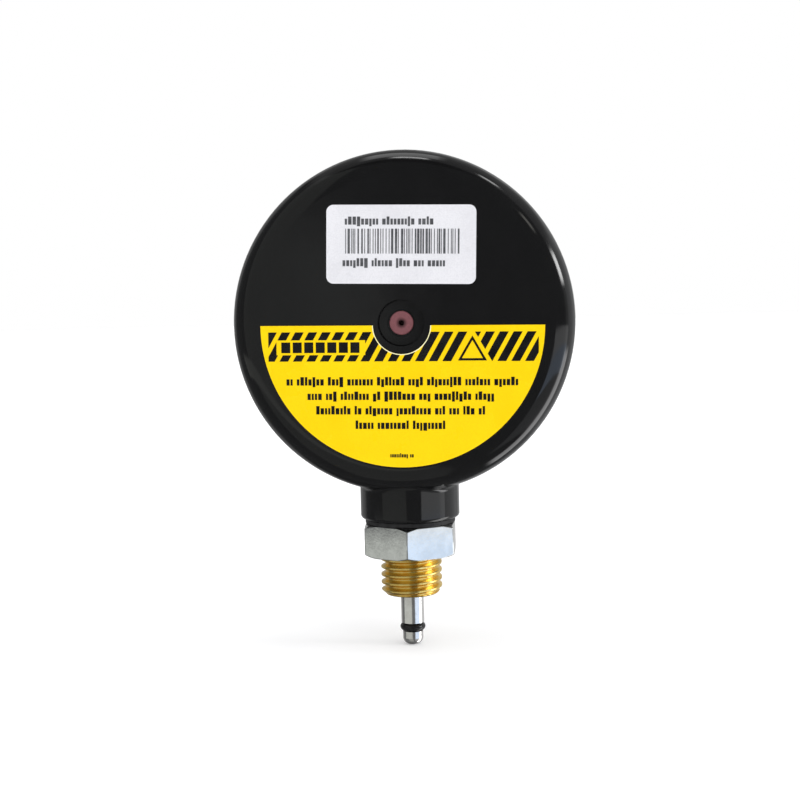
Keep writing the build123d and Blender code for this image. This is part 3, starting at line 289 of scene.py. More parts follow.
FINISHES = {
    "case_plastic": case_plastic(),
    "bezel_plastic": grained(
        "bezel_satin",
        dark=(0.007, 0.007, 0.008), light=(0.013, 0.013, 0.014), tone=9.0,
        grain=0.22, rough=(0.30, 0.46), depth=6.0,
    ),
    "window_clear": clear_window(),
    "seal_rubber": grained(
        "seal_black_rubber",
        dark=(0.009, 0.009, 0.010), light=(0.020, 0.020, 0.021), tone=1.6,
        grain=0.15, rough=(0.40, 0.62), depth=4.0, Specular_IOR_Level=0.4,
    ),
    "dial_face": grained(
        "dial_white_enamel",
        dark=(0.84, 0.84, 0.82), light=(0.90, 0.90, 0.88), tone=14.0,
        grain=0.5, rough=(0.32, 0.45), depth=2.0,
    ),
    "small_steel": grained(
        "small_steel_bright",
        dark=(0.50, 0.49, 0.47), light=(0.68, 0.67, 0.65), tone=1.5,
        grain=(0.06, 0.8, 0.06), rough=(0.16, 0.34), depth=1.5, **METAL,
    ),
    "movement_brass": grained(
        "rolled_brass",
        dark=(0.62, 0.43, 0.15), light=(0.83, 0.61, 0.27), tone=5.0,
        grain=(3.0, 0.1, 0.06), rough=(0.20, 0.38), depth=2.0, **METAL,
    ),
    "serial_film": film(
        "serial_white_film",
        dark=(0.70, 0.70, 0.735), light=(0.775, 0.775, 0.81), rough=(0.26, 0.36), shine=0.4,
    ),
    "warning_film": film(
        "warning_yellow_film",
        dark=(0.92, 0.61, 0.0005), light=(0.96, 0.655, 0.001), rough=(0.22, 0.32), shine=0.12,
    ),
    "stem_brass": grained(
        "turned_brass",
        dark=(0.92, 0.60, 0.15), light=(1.0, 0.77, 0.28), tone=1.2,
        grain=(0.05, 1.0, 0.05), rough=(0.14, 0.34), depth=1.2, turned="Z", **METAL,
    ),
    "spigot_steel": grained(
        "turned_steel",
        dark=(0.74, 0.72, 0.70), light=(0.86, 0.85, 0.83), tone=2.5,
        grain=(0.05, 1.0, 0.05), rough=(0.10, 0.22), depth=0.8, turned="Z", **METAL,
    ),
    "tube_bronze": grained(
        "drawn_bronze",
        dark=(0.48, 0.27, 0.12), light=(0.68, 0.42, 0.20), tone=4.0,
        grain=(0.3, 2.5, 0.3), rough=(0.20, 0.36), depth=2.0, **METAL,
    ),
    "pointer_black": grained(
        "pointer_enamel",
        dark=(0.010, 0.010, 0.011), light=(0.020, 0.020, 0.021), tone=4.0,
        grain=0.12, rough=(0.34, 0.48), depth=2.0,
    ),
    "nut_nickel": grained(
        "bright_nickel",
        dark=(0.66, 0.67, 0.66), light=(0.76, 0.77, 0.76), tone=2.2,
        grain=0.4, rough=(0.05, 0.13), depth=2.0, **METAL,
    ),
    "plug_rubber": plug_rubber(),
}
RING_RUBBER = grained(
    "greased_rubber",
    dark=(0.006, 0.006, 0.007), light=(0.012, 0.012, 0.013), tone=0.8,
    grain=0.2, rough=(0.16, 0.30), depth=3.0,
)
INK = grained(
    "label_black_ink",
    dark=(0.004, 0.004, 0.005), light=(0.010, 0.010, 0.011), tone=2.5,
    grain=0.2, rough=(0.24, 0.36), depth=1.0, Specular_IOR_Level=0.25,
)
GREY_INK = grained(
    "thermal_grey_ink",
    dark=(0.060, 0.062, 0.070), light=(0.110, 0.113, 0.122), tone=0.9,
    grain=0.12, rough=(0.30, 0.45), depth=1.0,
)
DIAL_INK = grained(
    "dial_black_ink",
    dark=(0.012, 0.012, 0.012), light=(0.024, 0.024, 0.024), tone=3.0,
    grain=0.2, rough=(0.35, 0.5), depth=1.0,
)
PALE_EDGE = grained(
    "warning_cut_edge",
    dark=(0.90, 0.86, 0.45), light=(0.96, 0.92, 0.58), tone=2.0,
    grain=0.2, rough=(0.4, 0.5), depth=1.0,
)

# every CAD node has the finish of its slot, and the spigot's O-ring is greased
for row in frame["record"]["subparts"]:
    node = frame["nodes"][row["node"]]
    for material_slot in node.material_slots:
        material_slot.material = FINISHES[row["material_slot"]]
for material_slot in frame["nodes"]["spigot_o_ring"].material_slots:
    material_slot.material = RING_RUBBER

# ---------------------------------------------------------------- meshes

# points nearer than this, in metres, are one
WELD = 1e-7


def smooth_piece(name, mesh, finish, body, sharp=35.0):
    """A piece of the object: smooth-shaded up to a crease angle, with its finish and body. A piece that
    should bend between two bodies is given body None and rides on no body."""
    mesh.polygons.foreach_set("use_smooth", [True] * len(mesh.polygons))
    mesh.set_sharp_from_angle(angle=math.radians(sharp))
    mesh.materials.clear()
    mesh.materials.append(finish)
    piece = bpy.data.objects.new(name, mesh)
    bpy.context.scene.collection.objects.link(piece)
    if body:
        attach(piece, body)
    return piece


def mesh_of(name, corners, faces):
    """A closed mesh from corners and faces, with doubled points joined and normals outward."""
    mesh = bpy.data.meshes.new(name)
    mesh.from_pydata(corners, [], faces)
    build = bmesh.new()
    build.from_mesh(mesh)
    bmesh.ops.remove_doubles(build, verts=build.verts, dist=WELD)
    bmesh.ops.dissolve_degenerate(build, edges=build.edges, dist=WELD)
    bmesh.ops.recalc_face_normals(build, faces=build.faces)
    build.to_mesh(mesh)
    build.free()
    return mesh


def quad(here, there, low, high):
    """The face between two columns of corners, each given by its first corner, from row low to high."""
    return (here + low, here + high, there + high, there + low)


# ---------------------------------------------------------------- prints

PRINT_DEPTH = 0.03 * MM
PRINT_CREASE = 20.0
FLAT_WITHIN = math.radians(1)
# in millimetres, like the outlines that are cut
CUT_PRECISION = 1e-6

# Blocks that stand for print: how many a group has, and sizes as shares of the line's height.
GROUP_BLOCKS = (2, 9)
BLOCK_WIDTH = (0.24, 0.44)
BLOCK_GAP = 0.13
GROUP_GAP = 0.38
BLOCK_RISES = (0.74, 0.74, 0.74, 1.0)
BLOCK_DROPS = (0, 0, 0, 0, 0, 0.2)


def box_outline(left, bottom, right, top):
    return [(left, bottom), (right, bottom), (right, top), (left, top)]


def round_outline(centre, radius, steps=64):
    turns = [2 * math.pi * step / steps for step in range(steps)]
    across, up = centre
    return [(across + radius * math.cos(turn), up + radius * math.sin(turn)) for turn in turns]


def cut_shapes(keep, drop=(), within=()):
    """Corners and triangles of what lies in a keep outline, in a within outline if there are any,
    and in no drop outline. Outlines run anticlockwise, in millimetres."""
    outlines = [*keep, *drop, *within]
    points, rings = [], []
    for outline in outlines:
        rings.append(list(range(len(points), len(points) + len(outline))))
        points.extend(Vector(point) for point in outline)
    corners, _, faces, _, _, owners = delaunay_2d_cdt(points, [], rings, 1, CUT_PRECISION)
    kept = set(range(len(keep)))
    dropped = set(range(len(keep), len(keep) + len(drop)))
    bounding = set(range(len(keep) + len(drop), len(outlines)))
    triangles = [
        face
        for face, inside in zip(faces, map(set, owners))
        if inside & kept and not inside & dropped and (inside & bounding or not bounding)
    ]
    return corners, triangles


def printed(name, shapes, place, finish):
    """A thin print: flat shapes laid on the face that place carries them to, and given a thickness."""
    corners, triangles = shapes
    mesh = bpy.data.meshes.new(name)
    mesh.from_pydata([place @ Vector((x * MM, y * MM, 0)) for x, y in corners], [], triangles)
    build = bmesh.new()
    build.from_mesh(mesh)
    loose = [corner for corner in build.verts if not corner.link_faces]
    bmesh.ops.delete(build, geom=loose, context="VERTS")
    bmesh.ops.dissolve_limit(build, angle_limit=FLAT_WITHIN, verts=build.verts, edges=build.edges)
    outward = place.to_3x3() @ Vector((0, 0, 1))
    for face in build.faces:
        if face.normal.dot(outward) < 0:
            face.normal_flip()
    top = bmesh.ops.extrude_face_region(build, geom=build.faces[:])["geom"]
    raised = [part for part in top if isinstance(part, bmesh.types.BMVert)]
    bmesh.ops.translate(build, verts=raised, vec=outward * PRINT_DEPTH)
    bmesh.ops.recalc_face_normals(build, faces=build.faces)
    build.to_mesh(mesh)
    build.free()
    return smooth_piece(name, mesh, finish, "gauge", sharp=PRINT_CREASE)


def back_place(centre, y, tilt):
    """Carries a label's own plane to the back of the case: centre in the frame, tilt anticlockwise."""
    across = Vector((-1, 0, 0))
    up = Vector((0, 0, 1))
    columns = Matrix((across, up, across.cross(up))).transposed().to_4x4()
    turn = Matrix.Rotation(math.radians(tilt), 4, "Z")
    return Matrix.Translation((centre[0], y, centre[1])) @ columns @ turn


def blocks_line(draw, left, right, base, height):
    """A line of print reduced to plain blocks in groups, like words seen from too far away to read."""
    outlines = []
    at = left
    while at < right:
        for _ in range(draw.randint(*GROUP_BLOCKS)):
            width = height * draw.uniform(*BLOCK_WIDTH)
            low = base - height * draw.choice(BLOCK_DROPS)
            high = base + height * draw.choice(BLOCK_RISES)
            if at + width > right:
                return outlines
            outlines.append(box_outline(at, low, at + width, high))
            at += width + height * BLOCK_GAP
        at += height * GROUP_GAP
    return outlines


# ---- the caution label: hazard stripes, a plain panel, a plain triangle and block lines
# Places are from the middle of the label's round edge. BAND and PANEL are left, bottom, right and
# top; lines of blocks are left, right, base and height.

WARNING_LOW, WARNING_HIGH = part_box("warning_label")
WARNING_RADIUS = (WARNING_HIGH.x - WARNING_LOW.x) / 2 / MM
WARNING_CENTRE = ((WARNING_LOW.x + WARNING_HIGH.x) / 2, WARNING_LOW.z + WARNING_RADIUS * MM)
WARNING_TILT = -1.05
NOTCH_RADIUS = 5.27
NOTCH_EDGE = 0.16
BAND = (-24.7, -6.57, 25.0, -1.19)
STRIPE_PITCH = 2.51
STRIPE_WIDTH = 1.6
STRIPE_SLANT = 61.0
PANEL = (-23.2, -5.41, -6.7, -2.66)
HEADING_LINE = (-22.3, -7.3, -5.0, 1.95)
HEADING_BLOCKS = 7
HEADING_FILL = 0.78
TRIANGLE_TOP = (12.96, -1.89)
TRIANGLE_HALF = 2.65
TRIANGLE_BASE = -6.46
TRIANGLE_MARGIN = 0.75
TRIANGLE_LINE = 0.42
CAUTION_LINES = [
    (-21.4, 21.4, -11.0, 1.55),
    (-17.5, 17.5, -13.67, 1.55),
    (-15.9, 15.65, -16.35, 1.55),
    (-8.6, 8.6, -19.03, 1.55),
    (-2.2, 2.2, -24.3, 0.8),
]


def triangle_outline(grow):
    """The triangle, grown outwards by a distance on every side."""
    height = TRIANGLE_TOP[1] - TRIANGLE_BASE
    side = math.hypot(height, TRIANGLE_HALF)
    rise = grow * side / TRIANGLE_HALF
    spread = grow * side / height + grow * TRIANGLE_HALF / height
    middle, top = TRIANGLE_TOP
    return [
        (middle - TRIANGLE_HALF - spread, TRIANGLE_BASE - grow),
        (middle + TRIANGLE_HALF + spread, TRIANGLE_BASE - grow),
        (middle, top + rise),
    ]


def hazard_stripes():
    """Slanted stripes that fill the band and run past both its ends."""
    left, bottom, right, top = BAND
    lean = (top - bottom) / math.tan(math.radians(STRIPE_SLANT))
    count = int((right - left + 2 * lean) / STRIPE_PITCH) + 1
    outlines = []
    for index in range(count):
        start = left - lean + STRIPE_PITCH * index
        end = start + STRIPE_WIDTH
        outlines.append([(start, bottom), (end, bottom), (end + lean, top), (start + lean, top)])
    return outlines


def heading_blocks():
    """A heading reduced to a row of even blocks."""
    left, right, base, height = HEADING_LINE
    step = (right - left) / HEADING_BLOCKS
    starts = [left + step * index for index in range(HEADING_BLOCKS)]
    return [box_outline(at, base, at + step * HEADING_FILL, base + height) for at in starts]


def caution_label():
    draw = random.Random(SEED)
    place = back_place(WARNING_CENTRE, WARNING_HIGH.y, WARNING_TILT)
    notch = round_outline((0, 0), NOTCH_RADIUS)
    notch_edge = round_outline((0, 0), NOTCH_RADIUS + NOTCH_EDGE)
    clear = [box_outline(*PANEL), triangle_outline(TRIANGLE_MARGIN), notch_edge]
    stripes = cut_shapes(hazard_stripes(), clear, [box_outline(*BAND)])
    printed("caution_stripes", stripes, place, INK)
    triangle = cut_shapes([triangle_outline(0)], [triangle_outline(-TRIANGLE_LINE)])
    printed("caution_triangle", triangle, place, INK)
    printed("caution_heading_blocks", cut_shapes(heading_blocks()), place, INK)
    lines = []
    for line in CAUTION_LINES:
        lines.extend(blocks_line(draw, *line))
    printed("caution_line_blocks", cut_shapes(lines), place, INK)
    # the die-cut edge of the notch shows the film's pale core
    below = box_outline(-WARNING_RADIUS, -WARNING_RADIUS, WARNING_RADIUS, 0)
    edge = cut_shapes([notch_edge], [notch], [below])
    printed("caution_notch_edge", edge, place, PALE_EDGE)


# ---- the serial label: a generic row of bars between two block lines
# Places are from the label's middle. BARS is left, bottom, right and top.

SERIAL_LOW, SERIAL_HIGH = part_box("serial_label")
SERIAL_CENTRE = ((SERIAL_LOW.x + SERIAL_HIGH.x) / 2, (SERIAL_LOW.z + SERIAL_HIGH.z) / 2)
SERIAL_TILT = -1.65
BARS = (-10.2, -1.68, 10.7, 2.83)
BAR_UNIT = 0.14
BAR_WIDTHS = (1, 1, 1, 2, 2, 3)
BAR_GAPS = (1, 1, 2, 2, 3)
SERIAL_LINES = [(-10.3, 6.0, 3.57, 1.46), (-10.7, 9.3, -3.99, 1.46)]


def serial_label():
    draw = random.Random(SEED + 1)
    place = back_place(SERIAL_CENTRE, SERIAL_HIGH.y, SERIAL_TILT)
    left, bottom, right, top = BARS
    bars = []
    at = left
    while at < right:
        width = BAR_UNIT * draw.choice(BAR_WIDTHS)
        bars.append(box_outline(at, bottom, min(at + width, right), top))
        at += width + BAR_UNIT * draw.choice(BAR_GAPS)
    printed("serial_bars", cut_shapes(bars), place, GREY_INK)
    lines = []
    for line in SERIAL_LINES:
        lines.extend(blocks_line(draw, *line))
    printed("serial_line_blocks", cut_shapes(lines), place, GREY_INK)


# ---- the dial: a scale of plain numbers, clockwise through 270 degrees

DIAL_FRONT_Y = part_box("dial")[0].y
SCALE_ZERO = 225.0
SCALE_SWEEP = 270.0
SCALE_TOP = 300
SCALE_OUTER = 27.2
SCALE_STEPS = 60
# every so many steps, a tick of this length and width
TICKS = {10: (3.4, 0.42), 2: (2.2, 0.22), 1: (1.3, 0.14)}
NUMBER_STEP = 50
NUMBER_RADIUS = 20.3
NUMBER_SIZE = 3.6


def dial_place():
    """Carries the dial's own plane, as seen from the front, to the front of the dial."""
    columns = Matrix(((1, 0, 0), (0, 0, 1), (0, -1, 0))).transposed().to_4x4()
    return Matrix.Translation((GAUGE_CENTRE.x, DIAL_FRONT_Y, GAUGE_CENTRE.z)) @ columns


def scale_angle(value, full):
    """Where a value stands on the scale, in radians, when the scale ends at full."""
    return math.radians(SCALE_ZERO - SCALE_SWEEP * value / full)


def dial_print():
    outlines = []
    for step in range(SCALE_STEPS + 1):
        length, width = next(TICKS[every] for every in TICKS if step % every == 0)
        turn = Matrix.Rotation(scale_angle(step, SCALE_STEPS), 2)
        tick = box_outline(SCALE_OUTER - length, -width / 2, SCALE_OUTER, width / 2)
        outlines.append([tuple(turn @ Vector(point)) for point in tick])
    printed("dial_ticks", cut_shapes(outlines), dial_place(), DIAL_INK)
    for value in range(0, SCALE_TOP + 1, NUMBER_STEP):
        angle = scale_angle(value, SCALE_TOP)
        number = bpy.data.curves.new(f"dial_number_{value}", "FONT")
        number.body = str(value)
        number.size = NUMBER_SIZE * MM
        number.align_x = "CENTER"
        number.align_y = "CENTER"
        number.extrude = PRINT_DEPTH / 2
        number.resolution_u = 6
        shape = bpy.data.objects.new(number.name, number)
        mesh = bpy.data.meshes.new_from_object(shape)
        bpy.data.objects.remove(shape)
        at = Vector((math.cos(angle), math.sin(angle), 0)) * NUMBER_RADIUS * MM
        mesh.transform(dial_place() @ Matrix.Translation(at + Vector((0, 0, PRINT_DEPTH / 2))))
        smooth_piece(number.name, mesh, DIAL_INK, "gauge", sharp=PRINT_CREASE)


# ---------------------------------------------------------------- the Bourdon tube

TUBE_LOW, TUBE_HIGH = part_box("bourdon_tube")
TUBE_THICKNESS = 2.0
TUBE_WALL = 0.35
TUBE_TIP_ANGLE = -28.0
TUBE_ROOT_ANGLE = 259.0
TUBE_STATIONS = 160
TUBE_ROUND_STEPS = 12
# how far from the gauge's middle, toward the tube's free end, the bend would start and end; the points
# are worked out but nothing bends the tube
TUBE_BEND = (8.0, 22.0)


def tube_outline(inset):
    """The flattened tube's section, inset from its outside: distances off the tube's middle line
    along the radius and along Y."""
    radius = TUBE_THICKNESS / 2 - inset
    reach = (TUBE_HIGH.y - TUBE_LOW.y) / 2 / MM - TUBE_THICKNESS / 2
    points = []
    for side, first in ((1, 0), (-1, 180)):
        for step in range(TUBE_ROUND_STEPS + 1):
            angle = math.radians(first + 180 * step / TUBE_ROUND_STEPS)
            points.append((radius * math.cos(angle), side * reach + radius * math.sin(angle)))
    return points


def tube_piece():
    outer, inner = tube_outline(0), tube_outline(TUBE_WALL)
    section = outer + inner
    count = len(outer)
    middle_y = (TUBE_HIGH.y + TUBE_LOW.y) / 2 / MM
    middle_radius = (TUBE_HIGH.z - GAUGE_CENTRE.z) / MM - TUBE_THICKNESS / 2
    corners, faces = [], []
    for station in range(TUBE_STATIONS + 1):
        share = station / TUBE_STATIONS
        angle = math.radians(TUBE_TIP_ANGLE + (TUBE_ROOT_ANGLE - TUBE_TIP_ANGLE) * share)
        for off, along in section:
            radius = middle_radius + off
            at = (radius * math.cos(angle), middle_y + along, radius * math.sin(angle))
            corners.append(Vector(at) * MM + GAUGE_CENTRE)
    stride = 2 * count
    for index in range(count):
        following = (index + 1) % count
        for station in range(TUBE_STATIONS):
            here, there = station * stride, (station + 1) * stride
            faces.append(quad(here, there, index, following))
            faces.append(quad(here + count, there + count, following, index))
        for end in (0, TUBE_STATIONS * stride):
            faces.append(quad(end + index, end + following, 0, count))
    mesh = mesh_of("bourdon_tube_bending", corners, faces)
    piece = smooth_piece("bourdon_tube_bending", mesh, FINISHES["tube_bronze"], None)
    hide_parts("bourdon_tube")
    tip = math.radians(TUBE_TIP_ANGLE)
    free_end = Vector((math.cos(tip), 0, math.sin(tip))) * MM
    start, end = (GAUGE_CENTRE + free_end * reach for reach in TUBE_BEND)
    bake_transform(piece)


# ---------------------------------------------------------------- the stem with its helical thread

STEM_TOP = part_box("stem")[1].z / MM
THREAD_RADIUS = 5.9
THREAD_PITCH = 1.5
THREAD_DEPTH = 0.85
THREAD_TOP = 14.3
THREAD_CHAMFER = 0.9
THREAD_HALF_ANGLE = 30.0
# along the axis: half of the groove's flat bottom, and one flank
THREAD_ROOT = THREAD_PITCH / 16
THREAD_FLANK = THREAD_DEPTH * math.tan(math.radians(THREAD_HALF_ANGLE))
THREAD_EASE = 0.5
THREAD_ROWS = 20
THREAD_COLUMNS = 160
SPIGOT_MOUTH = 2.4
SPIGOT_HOLE = 1.9
SPIGOT_HOLE_TOP = 6.0
STEM_BORE = 1.5
NECK_LOW = 15.3
NECK_RADIUS = 7.0
GROOVE_RADIUS = 5.55
GROOVE_LOW, GROOVE_HIGH = 17.3, 19.3
SHOULDER_RADIUS = 8.5
SHOULDER_LOW, SHOULDER_HIGH = 22.0, 24.0
TENON_RADIUS = 4.0
EDGE_BREAK = 0.12


def thread_radius(distance):
    """The thread's radius at a distance along the axis from the nearest groove's middle, its corners
    rounded by a slow ramp."""
    share = (distance - THREAD_ROOT) / THREAD_FLANK
    share = min(max(share, 0.0), 1.0)
    eased = share + THREAD_EASE * share * (1 - share) * (2 * share - 1)
    return THREAD_RADIUS - THREAD_DEPTH * (1 - eased)


def thread_skin():
    """The helical skin's corners, in columns, its faces, and how many corners a column has."""
    turns = math.ceil(THREAD_TOP / THREAD_PITCH) + 1
    rows = THREAD_ROWS * (turns + 1)
    corners, faces = [], []
    for column in range(THREAD_COLUMNS):
        share = column / THREAD_COLUMNS
        angle = 2 * math.pi * share
        for row in range(rows):
            along = row / THREAD_ROWS - 1
            z = min(max(THREAD_PITCH * (along + share), 0.0), THREAD_TOP)
            phase = z / THREAD_PITCH - share
            distance = abs(phase - round(phase)) * THREAD_PITCH
            radius = min(thread_radius(distance), THREAD_RADIUS - THREAD_CHAMFER + z)
            corners.append((radius * math.cos(angle), radius * math.sin(angle), z))
    for column in range(THREAD_COLUMNS):
        following = (column + 1) % THREAD_COLUMNS
        # after a whole turn the rows have climbed one pitch
        climb = THREAD_ROWS if following == 0 else 0
        for row in range(rows - 1 - climb):
            here = column * rows + row
            there = following * rows + row + climb
            faces.append((here, there, there + 1, here + 1))
    return corners, faces, rows


def stem_profile():
    """The rest of the stem's outline as radii and heights: from the thread's lower end through the
    bore, over the tenon, shoulder and neck, to the undercut above the thread."""
    return [
        (THREAD_RADIUS - THREAD_CHAMFER, 0),
        (SPIGOT_MOUTH, 0),
        (SPIGOT_HOLE, SPIGOT_MOUTH - SPIGOT_HOLE),
        (SPIGOT_HOLE, SPIGOT_HOLE_TOP),
        (STEM_BORE, SPIGOT_HOLE_TOP),
        (STEM_BORE, STEM_TOP),
        (TENON_RADIUS - EDGE_BREAK, STEM_TOP),
        (TENON_RADIUS, STEM_TOP - EDGE_BREAK),
        (TENON_RADIUS, SHOULDER_HIGH),
        (SHOULDER_RADIUS - EDGE_BREAK, SHOULDER_HIGH),
        (SHOULDER_RADIUS, SHOULDER_HIGH - EDGE_BREAK),
        (SHOULDER_RADIUS, SHOULDER_LOW + EDGE_BREAK),
        (SHOULDER_RADIUS - EDGE_BREAK, SHOULDER_LOW),
        (NECK_RADIUS, SHOULDER_LOW),
        (NECK_RADIUS, GROOVE_HIGH),
        (GROOVE_RADIUS, GROOVE_HIGH),
        (GROOVE_RADIUS, GROOVE_LOW),
        (NECK_RADIUS, GROOVE_LOW),
        (NECK_RADIUS, NECK_LOW + EDGE_BREAK),
        (NECK_RADIUS - EDGE_BREAK, NECK_LOW),
        (THREAD_RADIUS - THREAD_DEPTH, NECK_LOW),
        (THREAD_RADIUS - THREAD_DEPTH, THREAD_TOP),
    ]


def stem_piece():
    corners, faces, rows = thread_skin()
    first = len(corners)
    profile = stem_profile()
    for column in range(THREAD_COLUMNS):
        angle = 2 * math.pi * column / THREAD_COLUMNS
        corners.extend((r * math.cos(angle), r * math.sin(angle), z) for r, z in profile)
    stations = len(profile)
    for column in range(THREAD_COLUMNS):
        following = (column + 1) % THREAD_COLUMNS
        here = first + column * stations
        there = first + following * stations
        faces.extend(quad(here, there, row, row + 1) for row in range(stations - 1))
        # the thread's top end closes onto the undercut
        run_out = column * rows + rows - 1
        next_out = following * rows + rows - 1
        faces.append((here + stations - 1, there + stations - 1, next_out, run_out))
    mesh = mesh_of("stem_threaded", [Vector(corner) * MM for corner in corners], faces)
    piece = smooth_piece("stem_threaded", mesh, FINISHES["stem_brass"], "gauge")
    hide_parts("stem")


# ---------------------------------------------------------------- the lock nut

NUT_LOW, NUT_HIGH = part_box("lock_nut")
NUT_CORNER_ROUND = 0.35
NUT_CHAMFER_RADIUS = 8.75
NUT_CHAMFER_ANGLE = 30.0
NUT_BORE = 5.96
NUT_MOUTH = 0.4
NUT_EDGE = 0.09
# the middle of the rounding above the chamfer, as shares of NUT_EDGE inward and upward
NUT_EDGE_MIDDLE = (0.25, 0.35)
NUT_CREASE = 50.0
SIDE_TURN = 60
HALF_SIDE = 30
NUT_ARC_STEPS = 8
NUT_FLAT_STEPS = 18


def flat_direction(angle):
    """The flat direction at an angle anticlockwise from +X."""
    turn = math.radians(angle)
    return Vector((math.cos(turn), math.sin(turn)))


def nut_outline():
    """Points round the hexagon, its corners rounded, with two corners on the Y axis."""
    apothem = (NUT_HIGH.x - NUT_LOW.x) / 2 / MM
    reach = (apothem - NUT_CORNER_ROUND) / math.cos(math.radians(HALF_SIDE))

    def rounded(facing, angle):
        """A point of the rounded corner that faces one way, where its outside faces an angle."""
        return flat_direction(facing) * reach + flat_direction(angle) * NUT_CORNER_ROUND

    points = []
    for side in range(6):
        facing = HALF_SIDE + SIDE_TURN * side
        for step in range(NUT_ARC_STEPS + 1):
            angle = facing - HALF_SIDE + SIDE_TURN * step / NUT_ARC_STEPS
            points.append(rounded(facing, angle))
        start, end = points[-1], rounded(facing + SIDE_TURN, facing + HALF_SIDE)
        points.extend(start.lerp(end, step / NUT_FLAT_STEPS) for step in range(1, NUT_FLAT_STEPS))
    return points


def nut_piece():
    low, high = NUT_LOW.z / MM, NUT_HIGH.z / MM
    slope = math.tan(math.radians(NUT_CHAMFER_ANGLE))
    inward, upward = (share * NUT_EDGE for share in NUT_EDGE_MIDDLE)
    outline = nut_outline()
    corners, faces = [], []
    for point in outline:
        radius = point.length
        facing = point.normalized()
        cone = min(radius - EDGE_BREAK, NUT_CHAMFER_RADIUS)
        drop = (radius - cone) * slope if radius > NUT_CHAMFER_RADIUS else EDGE_BREAK * slope
        half = [
            (NUT_BORE, NUT_MOUTH),
            (NUT_BORE + NUT_MOUTH, 0),
            (cone - NUT_EDGE, 0),
            (cone + NUT_EDGE, NUT_EDGE * slope),
            (radius - NUT_EDGE, drop - NUT_EDGE * slope),
            (radius - inward, drop + upward),
            (radius, drop + NUT_EDGE),
        ]
        profile = [(r, low + z) for r, z in half] + [(r, high - z) for r, z in reversed(half)]
        corners.extend((*(facing * r), z) for r, z in profile)
    stations = len(profile)
    for column in range(len(outline)):
        following = (column + 1) % len(outline)
        here, there = column * stations, following * stations
        faces.extend(quad(here, there, row, (row + 1) % stations) for row in range(stations))
    mesh = mesh_of("lock_nut_hexagon", [Vector(corner) * MM for corner in corners], faces)
    nickel = FINISHES["nut_nickel"]
    piece = smooth_piece("lock_nut_hexagon", mesh, nickel, "nut", sharp=NUT_CREASE)
    flats = piece.modifiers.new("flat_faces", "WEIGHTED_NORMAL")
    flats.keep_sharp = True
    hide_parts("lock_nut")


# ---------------------------------------------------------------- studio

# Directions are an azimuth and an elevation, where azimuth 0 is +Y and 90 is -X. The camera stands
# off the middle of the gauge's back, by X, Y and Z.
CAMERA_FROM_BACK = Vector((-18.89, 231.6, 1.36)) * MM
CAMERA_AZIMUTH = 184.79
CAMERA_ELEVATION = -3.816
CAMERA_ROLL = -1.404
LENS = 57.0


def toward(azimuth, elevation):
    """The direction of length 1 at an azimuth and an elevation."""
    turn, rise = math.radians(azimuth), math.radians(elevation)
    return Vector((-math.sin(turn) * math.cos(rise), math.cos(turn) * math.cos(rise), math.sin(rise)))


def camera():
    forward = toward(CAMERA_AZIMUTH, CAMERA_ELEVATION)
    right = forward.cross(Vector((0, 0, 1))).normalized()
    up = right.cross(forward)
    roll = math.radians(CAMERA_ROLL)
    level = Matrix((right, up, -forward)).transposed()
    data = bpy.data.cameras.new("view")
    data.lens = LENS
    data.clip_start = 0.01
    data.clip_end = 20.0
    view = bpy.data.objects.new("view", data)
    bpy.context.scene.collection.objects.link(view)
    at = Vector((GAUGE_CENTRE.x, BACK_Y, GAUGE_CENTRE.z)) + CAMERA_FROM_BACK
    view.matrix_world = Matrix.Translation(at) @ (level @ Matrix.Rotation(roll, 3, "Z")).to_4x4()
    bpy.context.scene.camera = view


